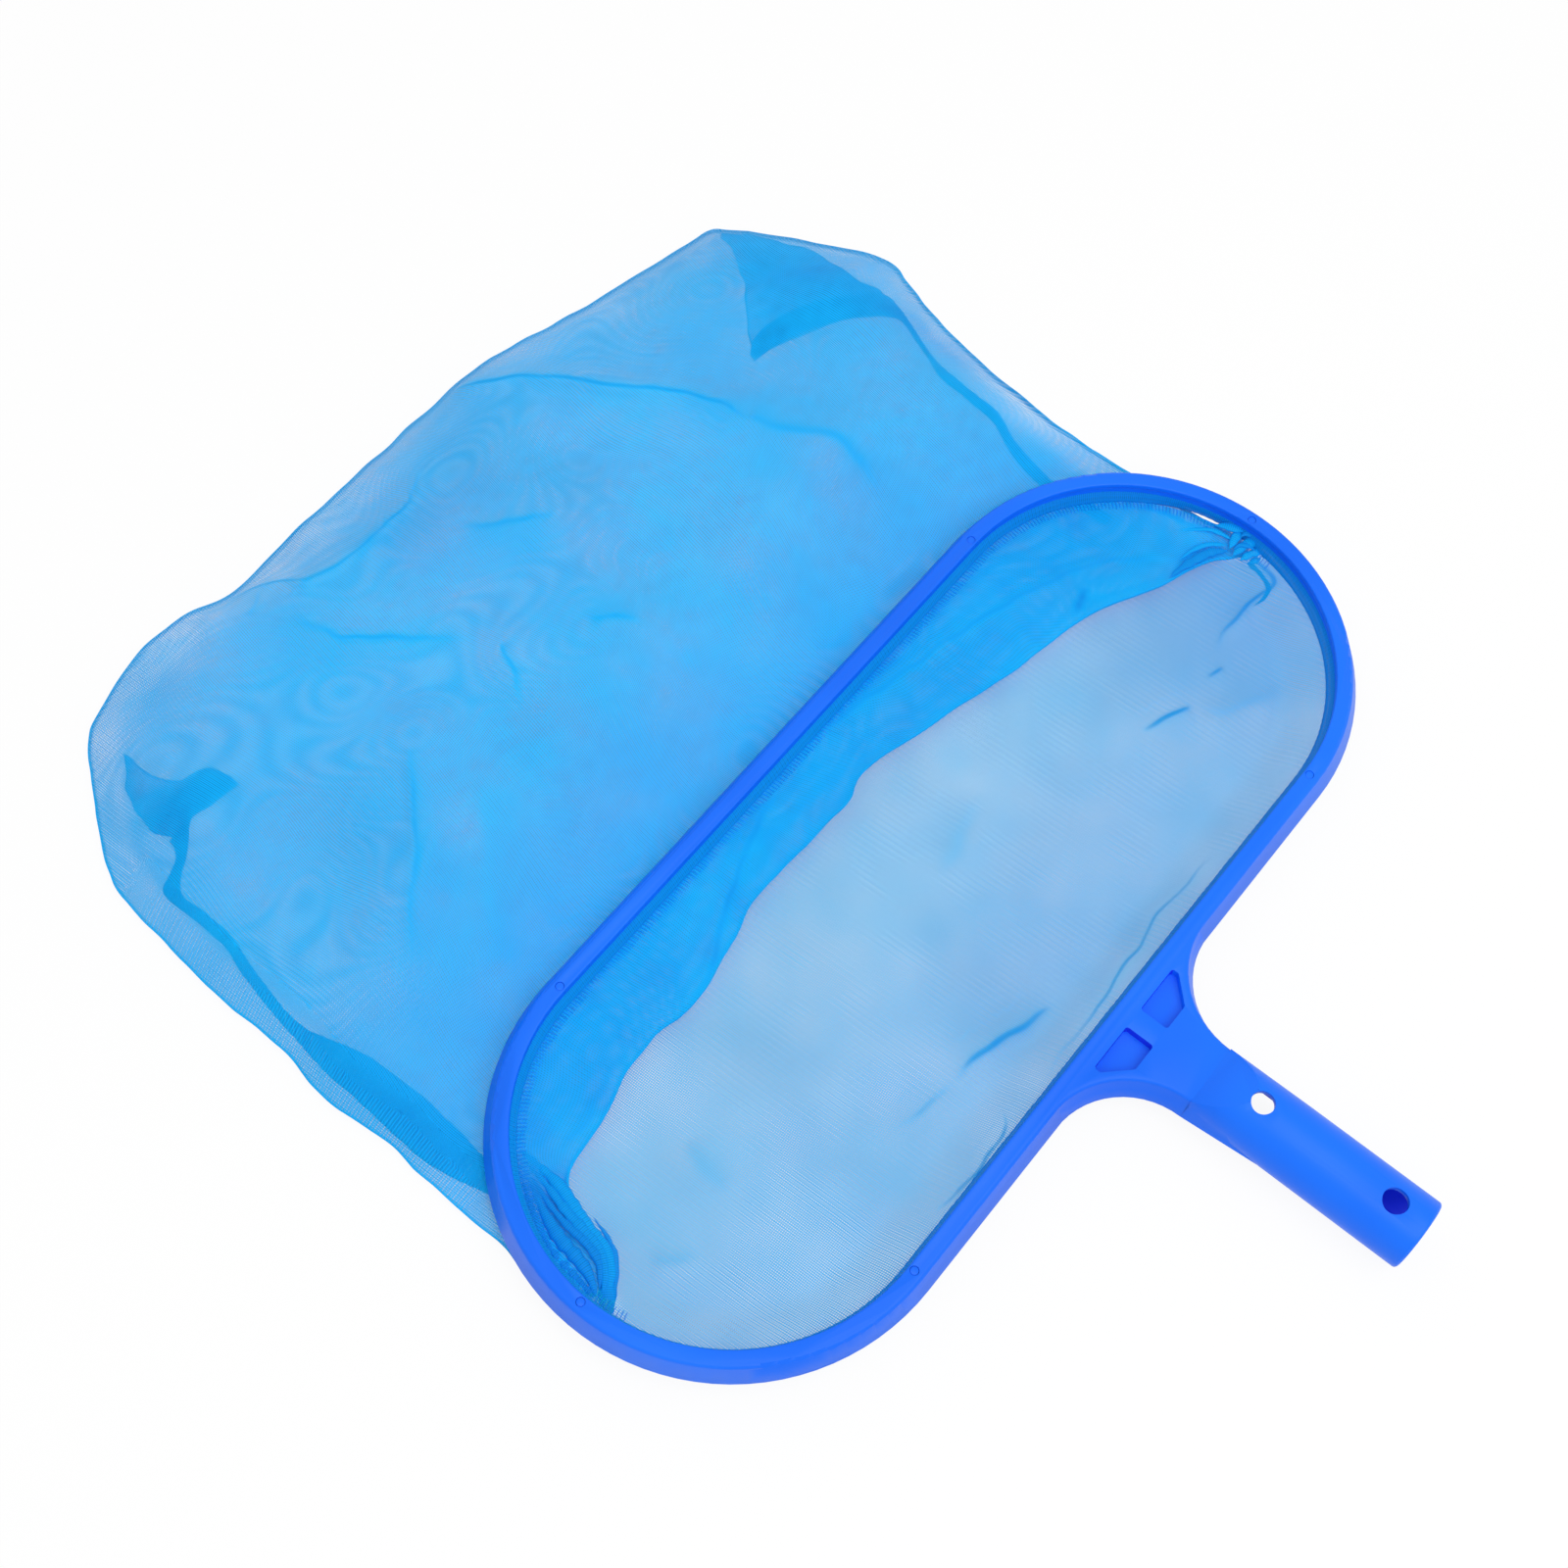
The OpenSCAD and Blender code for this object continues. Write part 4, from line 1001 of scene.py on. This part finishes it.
def foldedStrip(name, edges, s, seed):
    # a flattened tube of cloth between two edges, closed at both ends
    n, m = s["steps"], s["round"]
    outer, inner = softCurve(edges["outer"], n), softCurve(edges["inner"], n)
    outer = outer + wander(outer, seed, s["wave"], s["waveSize"])
    inner = inner + wander(inner, seed + 2, s["wave"], s["waveSize"])
    middle = (outer + inner) / 2
    run = np.concatenate([[0], np.cumsum(np.linalg.norm(np.diff(middle, axis=0), axis=1))])
    angle = np.linspace(0, 2 * math.pi, m, endpoint=False)
    across = (1 - np.cos(angle)) / 2
    plan = outer[:, None] + (inner - outer)[:, None] * across[None, :, None]
    width = np.linalg.norm(inner - outer, axis=1)[:, None]
    shut = np.clip(np.minimum(run, run[-1] - run) / s["shutLength"], s["shutTo"], 1)[:, None]
    bulge = np.sign(np.sin(angle)) * np.abs(np.sin(angle)) ** s["bulgePower"]
    ribs = np.sin(2 * math.pi * run / s["ribPitch"])
    z = s["z"] + s["thick"] / 2 * shut * bulge[None]
    z = z + s["rib"] * shut * ribs[:, None] * np.maximum(bulge, 0)[None]
    z = z + waver(plan.reshape(-1, 2), seed + 4, *s["heightWave"]).reshape(z.shape)
    points = np.dstack([plan, z]).reshape(-1, 3)
    threads = alongAndAcross(run, np.linspace(0, 2, m)[None] * np.maximum(width, 2))
    flat = points[:, :2]
    # the ribs are painted as stripes of denser, shaded cloth
    ribShading = np.repeat(ribs, m) * s["ribShade"]
    thin = 1 - s["innerFade"] * np.tile(across, n) ** 3
    cover = np.maximum(s["cover"] * (1 + toneField(flat, s["tones"])) * thin + 2 * ribShading, s["leastCover"])
    paintedShade = np.clip(toneField(flat, s["shades"]) + ribShading, 0, 1)
    side = (np.minimum(across, 1 - across)[None] * width).reshape(-1) + s["edgeOff"]
    fields = clothFields(len(points), cover, paintedShade, side)
    return foldedPiece(name, points, tubeFaces(n, m), fields, threads)


# gathered cloth at the mouth's ends: rolled folds, each (x, y, z) along it with its half width and its
# painted shade

gathers = {
    "left": [
        {"path": [(-181.5, 11.5, 7.6), (-181.8, 2, 8.0), (-182.6, -9, 8.4), (-185.6, -20, 8.6),
                  (-188.2, -30, 8.6), (-189.6, -37, 8.4), (-194.5, -43.6, 8.0), (-202.5, -48.6, 7.6)],
         "half": [0.6, 1.5, 2.3, 2.4, 2.2, 2.2, 1.9, 1.2], "paintedShade": 0.4},
        {"path": [(-183.5, 6, 7.6), (-185.6, -6, 8.6), (-188.2, -17, 9.4), (-189.6, -27, 9.6),
                  (-191.4, -36, 9.2), (-196.5, -42.8, 8.6), (-203.2, -47.2, 8.0)],
         "half": [0.5, 1.4, 1.9, 1.9, 1.8, 1.5, 0.9], "paintedShade": 0.54},
        {"path": [(-186.4, 2, 7.8), (-190.2, -11, 9.2), (-192.0, -21, 10.0), (-192.6, -31, 10.0),
                  (-195.0, -38.6, 9.4), (-201.5, -44.6, 8.6)],
         "half": [0.5, 1.2, 1.6, 1.5, 1.3, 0.8], "paintedShade": 0.72},
        {"path": [(-188.0, 1, 8.0), (-193.6, -11, 9.4), (-197.2, -22, 10.2), (-198.6, -31, 10.2),
                  (-200.4, -38.4, 9.6), (-204.4, -45.4, 8.8)],
         "half": [0.5, 1.7, 2.5, 2.3, 1.8, 0.9], "paintedShade": 0.69},
        {"path": [(-189.5, 3, 8.0), (-196.2, -8.5, 8.8), (-201.4, -21, 9.2), (-203.8, -33, 9.2),
                  (-205.2, -45, 8.8)], "half": [0.4, 1.2, 1.6, 1.6, 1.0], "paintedShade": 0.76},
        {"path": [(-183.4, -26, 7.4), (-186.2, -36, 7.6), (-190.6, -42.6, 7.4), (-198, -48.2, 7.0),
                  (-204.6, -51.0, 6.8)], "half": [0.3, 0.9, 1.2, 1.2, 0.8], "paintedShade": 0.64},
        {"path": [(-190.5, -33, 6.8), (-195.5, -42, 7.0), (-201.5, -48.2, 7.0), (-208.0, -53.5, 7.0)],
         "half": [1.6, 3.0, 3.0, 1.8], "paintedShade": 0.6},
    ],
    "right": [
        {"path": [(203.9, -32.5, 11.6), (205.7, -35.6, 12.4), (207.4, -40.2, 12.8), (208.9, -44.0, 12.6)],
         "half": [0.6, 1.5, 1.8, 1.1], "paintedShade": 0.3},
        {"path": [(199.2, -43.4, 10.4), (202.6, -43.0, 11.0), (206.4, -42.6, 11.4), (209.4, -44.6, 11.2)],
         "half": [0.8, 1.9, 2.2, 1.2], "paintedShade": 0.22},
        {"path": [(197.8, -46.4, 9.6), (201.6, -46.8, 10.4), (205.6, -48.0, 11.0), (208.6, -50.6, 10.8),
                  (208.9, -54.6, 10.0)], "half": [0.8, 1.9, 2.2, 1.8, 0.9], "paintedShade": 0.3},
        {"path": [(198.4, -49.8, 8.6), (201.4, -50.8, 9.4), (204.8, -52.4, 9.6), (207.6, -55.2, 9.0)],
         "half": [0.7, 1.6, 1.9, 1.0], "paintedShade": 0.2},
        {"path": [(200.0, -53.2, 7.6), (202.4, -54.4, 8.2), (205.4, -55.8, 8.0)],
         "half": [0.6, 1.5, 0.9], "paintedShade": 0.38},
        {"path": [(205.6, -44.2, 12.6), (208.2, -45.0, 12.8), (209.6, -48.0, 12.4), (209.3, -51.4, 11.4)],
         "half": [0.5, 1.2, 1.2, 0.7], "paintedShade": 0.55},
        {"path": [(199.6, -45.0, 11.0), (202.6, -46.2, 12.0), (204.8, -49.6, 11.6), (205.2, -53.0, 10.4)],
         "half": [0.5, 1.0, 1.0, 0.6], "paintedShade": 0.55},
        {"path": [(172.6, -31.8, 8.2), (180.0, -33.4, 9.0), (187.6, -36.0, 9.6), (193.3, -38.5, 9.8),
                  (198.6, -43.4, 9.6)], "half": [0.3, 1.4, 2.1, 2.0, 1.2], "paintedShade": 0.62, "flat": 0.5},
        {"path": [(182.0, -30.0, 8.4), (189.5, -32.0, 9.4), (195.6, -35.6, 10.0), (200.2, -41.8, 10.2)],
         "half": [0.3, 0.9, 1.2, 0.8], "paintedShade": 0.25, "flat": 0.4},
        {"path": [(192.6, -20.0, 8.6), (198.0, -26.5, 9.4), (202.4, -33.0, 10.2), (203.6, -41.5, 10.4)],
         "half": [0.3, 0.8, 1.1, 0.9], "paintedShade": 0.14, "flat": 0.6},
        {"path": [(200.6, -52.4, 6.6), (201.4, -56.6, 5.4), (200.6, -61.0, 4.4), (198.4, -65.6, 3.4),
                  (193.6, -66.8, 2.8), (187.6, -65.4, 2.2)],
         "half": [1.2, 1.1, 1.0, 1.0, 0.8, 0.3], "paintedShade": 0.3, "flat": 0.6},
    ],
    "round": 14, "step": 0.8, "flat": 0.55, "cover": 1.2, "wave": 5.0, "waveSize": 0.1, "thinnest": 0.15,
    "edgeReach": 1.6, "edgeOff": 0.2,
}


def clothFolds(name, folds, s, seed):
    # a heap of rolled folds made as one piece, each a soft closed tube along its own path
    m = s["round"]
    angle = np.linspace(0, 2 * math.pi, m, endpoint=False)
    points, faces, threads, paintedShade, side, first = [], [], [], [], [], 0
    for k, fold in enumerate(folds):
        path = np.array(fold["path"], float)
        long = np.linalg.norm(np.diff(path, axis=0), axis=1).sum()
        n = int(long / s["step"]) + 4
        shape = softCurve(np.column_stack([path, fold["half"]]), n)
        line, half = shape[:, :3], np.maximum(shape[:, 3], s["thinnest"])
        share = np.linspace(0, 1, n)
        half = half * np.clip(np.minimum(share, 1 - share) * n / 4, 0.1, 1) ** 0.5
        half = half * (1 + waver(line[:, :2], seed + k, s["wave"], s["waveSize"]))
        along = np.gradient(line, axis=0)
        sideways = np.stack([along[:, 1], -along[:, 0], 0 * half], 1)
        sideways /= np.maximum(np.linalg.norm(sideways, axis=1), 1e-9)[:, None]
        ring = line[:, None] + sideways[:, None] * (half[:, None] * np.cos(angle))[..., None]
        ring[..., 2] += fold.get("flat", s["flat"]) * half[:, None] * np.sin(angle)
        faces += tubeFaces(n, m, first)
        points.append(ring.reshape(-1, 3))
        threads.append(alongAndAcross(share * long, half[:, None] * angle))
        paintedShade.append(np.full(n * m, fold["paintedShade"]))
        inner = (1 - np.abs(np.cos(angle))) * half[:, None]
        side.append((inner * s["edgeReach"] + s["edgeOff"]).reshape(-1))
        first += n * m
    fields = clothFields(first, s["cover"], np.concatenate(paintedShade), np.concatenate(side))
    return foldedPiece(name, np.vstack(points), faces, fields, np.vstack(threads))


sides = ("left", "right")
softPieces = {}
for side, seed in zip(sides, (31, 47)):
    softPieces["seam_" + side] = foldedStrip("seam_allowance_" + side, seams[side], seams, seed)
    flap = foldedStrip("folded_corner_" + side, cornerFolds[side], cornerFolds, seed + 5)
    softPieces["corner_fold_" + side] = flap
    softPieces["gather_" + side] = clothFolds("gathered_cloth_" + side, gathers[side], gathers, seed + 10)
print("seams and gathers ready")


# hem: the doubled edge of the net, wrapped round the hoop

hem = {
    "inner": 81.2, "width": 4.6, "foot": 8.7, "height": 7.7, "innerTop": 13.6, "lean": 3.4,
    "leanLess": (203, -26, 20, 0.8), "steps": 760, "round": 24, "wave": 0.18, "pucker": 0.12,
    # the hem's painted shade is deepest on the handle's side and at the right end, lighter on the far side
    # and the left end
    "puckerPitch": 3.1, "cover": 1.4, "paintedShade": 0.8,
    "shades": [(-195, -35, 70, 80, 0, -0.34), (0, 40, 200, 16, 0, -0.22)], "boxPower": 0.42, "swell": 0.4,
    "slackWaves": (30, 90, 7), "slackShare": 4, "puckerDrift": (23, 1.5), "clothRound": 22,
    "seed": 5, "fullTurn": 6.28,
}


def ovalStations(count):
    # even steps round the whole oval: spine point, outward direction and run length at the hem
    radius = hem["inner"]
    bar, arc = 2 * barHalf, math.pi * radius
    run = np.linspace(0, 2 * (bar + arc), count, endpoint=False)
    spine, out = np.zeros((count, 2)), np.zeros((count, 2))
    for i, r in enumerate(run):
        if r < bar:
            spine[i], out[i] = (-barHalf + r, ringY), (0, 1)
        elif r < bar + arc:
            a = (r - bar) / radius
            spine[i], out[i] = (barHalf, ringY), (math.sin(a), math.cos(a))
        elif r < 2 * bar + arc:
            spine[i], out[i] = (barHalf - (r - bar - arc), ringY), (0, -1)
        else:
            a = (r - 2 * bar - arc) / radius
            spine[i], out[i] = (-barHalf, ringY), (-math.sin(a), -math.cos(a))
    return spine, out, run


def hemSleeve(s):
    spine, out, run = ovalStations(s["steps"])
    m, n = s["round"], s["steps"]
    w, h = s["width"] / 2, s["height"] / 2
    angle = np.linspace(0, 2 * math.pi, m, endpoint=False)
    sx = np.sign(np.cos(angle)) * np.abs(np.cos(angle)) ** s["boxPower"] * w
    sz = np.sign(np.sin(angle)) * np.abs(np.sin(angle)) ** s["boxPower"] * h
    rng = np.random.default_rng(s["seed"])
    turns = 2 * math.pi / run[-1] * run
    loose = sum(np.sin(turns * k + rng.uniform(0, s["fullTurn"])) for k in range(*s["slackWaves"]))
    loose = loose / s["slackShare"]
    driftTurns, drift = s["puckerDrift"]
    pucker = np.sin(2 * math.pi * run / s["puckerPitch"] + drift * np.sin(turns * driftTurns)) * s["pucker"]
    swell = 1 + (loose * s["wave"] / w)[:, None] * (np.abs(np.sin(angle)) ** 2)[None] * s["swell"]
    innerness = np.clip(-sx / w, 0, 1)[None]
    drop = (s["foot"] + 2 * h - s["innerTop"]) * innerness * np.clip(sz / h, 0, 1)[None]
    z = s["foot"] + h + sz[None] - drop + 0 * run[:, None]
    # the inner side leans out towards its foot, less so beside the knot
    x, y, reach, less = s["leanLess"]
    spot = spine + out * s["inner"]
    lean = s["lean"] * (1 - less * np.exp(-((spot[:, 0] - x) ** 2 + (spot[:, 1] - y) ** 2) / reach ** 2))
    low = np.clip((s["innerTop"] - z) / (s["innerTop"] - s["foot"]), 0, 1)
    radius = s["inner"] + w + sx[None] * swell - pucker[:, None] * innerness - lean[:, None] * low * innerness
    plan = spine[:, None] + out[:, None] * radius[..., None]
    points = np.dstack([plan, z]).reshape(-1, 3)
    i, j = np.arange(n)[:, None], np.arange(m)[None]
    i2, j2 = (i + 1) % n, (j + 1) % m
    faces = np.stack([i * m + j, i2 * m + j, i2 * m + j2, i * m + j2], -1).reshape(-1, 4)
    threads = alongAndAcross(run, np.linspace(0, s["clothRound"], m)[None])
    paintedShade = np.clip(s["paintedShade"] + toneField(points[:, :2], s["shades"]), 0, 1)
    fields = clothFields(n * m, s["cover"], paintedShade, noLine)
    return foldedPiece("hem_round_hoop", points, faces, fields, threads)


softPieces["hem_sleeve"] = hemSleeve(hem)
print("hem ready")


# stitches

thread = {
    "dark": (0.0, 0.255, 0.7905, 1), "light": (0.0, 0.30, 0.93, 1), "toneScale": 400.0, "grain": 5000.0,
    "roughness": 0.55, "spread": 0.1, "bump": 0.4, "bumpDepth": 0.0001, "ior": 1.5, "shine": 0.2,
    "width": 0.34, "sides": 5,
}
sewingThread = grainedMaterial("sewingThread", thread, thread["dark"], thread["light"])


def threadTree():
    # turns each short line of a mesh into a round stitch
    tree = bpy.data.node_groups.new("stitches", "GeometryNodeTree")
    tree.interface.new_socket("Geometry", in_out="INPUT", socket_type="NodeSocketGeometry")
    width = tree.interface.new_socket("Thread Width", in_out="INPUT", socket_type="NodeSocketFloat")
    sides = tree.interface.new_socket("Sides", in_out="INPUT", socket_type="NodeSocketInt")
    finish = tree.interface.new_socket("Finish", in_out="INPUT", socket_type="NodeSocketMaterial")
    tree.interface.new_socket("Geometry", in_out="OUTPUT", socket_type="NodeSocketGeometry")
    give, take = tree.nodes.new("NodeGroupInput").outputs, tree.nodes.new("NodeGroupOutput")
    line = put(tree, "GeometryNodeMeshToCurve", {"Mesh": give["Geometry"]})
    half = mathNode(tree, "MULTIPLY", give["Thread Width"], 0.5)
    circle = put(tree, "GeometryNodeCurvePrimitiveCircle", {"Radius": half, "Resolution": give["Sides"]})
    tube = put(tree, "GeometryNodeCurveToMesh", {
        "Curve": line.outputs["Curve"], "Profile Curve": circle.outputs["Curve"], "Fill Caps": True})
    real = put(tree, "GeometryNodeRealizeInstances", {"Geometry": tube.outputs["Mesh"]})
    coat = put(tree, "GeometryNodeSetMaterial", {
        "Geometry": real.outputs["Geometry"], "Material": give["Finish"]})
    fill(tree, take, {"Geometry": coat.outputs["Geometry"]})
    return tree, width.identifier, sides.identifier, finish.identifier


stitchTree, widthKey, sidesKey, finishKey = threadTree()


def sewStitches(name, stitches, s):
    # stitches: (count, points in a stitch, 3) in millimetres
    count, long = stitches.shape[:2]
    index = np.arange(count * long).reshape(count, long)
    edges = np.stack([index[:, :-1], index[:, 1:]], -1).reshape(-1, 2)
    mesh = bpy.data.meshes.new(name + "_lines")
    mesh.from_pydata((stitches.reshape(-1, 3) * mm).tolist(), edges.tolist(), [])
    source = bpy.data.objects.new(name, mesh)
    scene.collection.objects.link(source)
    mod = source.modifiers.new("stitches", "NODES")
    mod.node_group = stitchTree
    mod[widthKey], mod[sidesKey], mod[finishKey] = s["width"] * mm, s["sides"], sewingThread
    bpy.context.view_layer.update()
    evaluated = source.evaluated_get(bpy.context.evaluated_depsgraph_get())
    made = bpy.data.meshes.new_from_object(evaluated)
    source.modifiers.remove(mod)
    source.data = made
    made.name = name
    return source


hemStitch = {
    "pitch": 1.6, "from": 79.0, "to": 75.4, "uneven": 0.3, "slant": 0.5, "over": 0.12, "farthest": -0.2,
    "bend": 0.55, "bendSlant": 0.2, "arch": 0.1, "sink": 0.1, "topZ": 10.2, "seed": 9,
}
seamStitch = {"pitch": 2.3, "ends": 3, "slant": 0.6, "inset": 0.06, "bend": 0.3, "sink": 0.25, "arch": 0.22}


def hemStitches(s):
    count = int((4 * barHalf + 2 * math.pi * hem["inner"]) / s["pitch"])
    spine, out, _ = ovalStations(count)
    seen = out[:, 1] > s["farthest"]  # on the handle's side the stitches lie under the hem
    spine, out, count = spine[seen], out[seen], int(seen.sum())
    drift = np.stack([out[:, 1], -out[:, 0]], 1) * s["slant"]
    rng = np.random.default_rng(s["seed"])
    top = spine + out * s["from"]
    foot = spine + out * (s["to"] + rng.uniform(-s["uneven"], s["uneven"], (count, 1))) + drift
    middle = (top * (1 - s["bend"]) + foot * s["bend"]) + drift * s["bendSlant"]

    def clothZ(radius, farZ):
        # the cloth's height there: level on the far side, falling to the floor elsewhere
        fall = (bag["hemZ"] - bag["floorZ"]) * (1 - ease((bag["hemRadius"] - radius) / bag["dropLength"]))
        return np.where(out[:, 1] > 0, farZ, bag["floorZ"] + fall) + s["over"]

    heights = (np.full(count, s["topZ"]), clothZ((s["from"] + s["to"]) / 2, bag["hemZ"]) + s["arch"],
               clothZ(s["to"], bag["hemZ"] - s["sink"]))
    return np.stack([np.column_stack([p, h]) for p, h in zip((top, middle, foot), heights)], 1)


def seamStitches(edges, strip, s):
    outer, inner = (softCurve(edges[k], strip["steps"]) for k in ("outer", "inner"))
    run = np.concatenate([[0], np.cumsum(np.linalg.norm(np.diff((outer + inner) / 2, axis=0), axis=1))])
    want = np.arange(s["ends"], run[-1] - s["ends"], s["pitch"])
    a = np.stack([np.interp(want, run, outer[:, k]) for k in (0, 1)], 1)
    b = np.stack([np.interp(want + s["slant"], run, inner[:, k]) for k in (0, 1)], 1)
    top = strip["z"] + strip["thick"] / 2
    shares = (s["inset"], s["bend"], 1 - s["bend"], 1 - s["inset"])
    heights = (top - s["sink"], top + s["arch"], top + s["arch"], top - s["sink"])
    rows = [np.column_stack([a * (1 - k) + b * k, np.full(len(a), h)]) for k, h in zip(shares, heights)]
    return np.stack(rows, 1)


softPieces["hem_thread"] = sewStitches("hem_stitches", hemStitches(hemStitch), thread)
for side in sides:
    stitches = seamStitches(seams[side], seams, seamStitch)
    softPieces["seam_thread_" + side] = sewStitches("seam_stitches_" + side, stitches, thread)
print("stitches ready, faces", sum(len(p.data.polygons) for k, p in softPieces.items() if "thread" in k))


# what each piece stands for

softPieces["net_lower"], softPieces["net_upper"] = lower, upper
for node, piece in softPieces.items():
    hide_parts(node)
    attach(piece, "root")
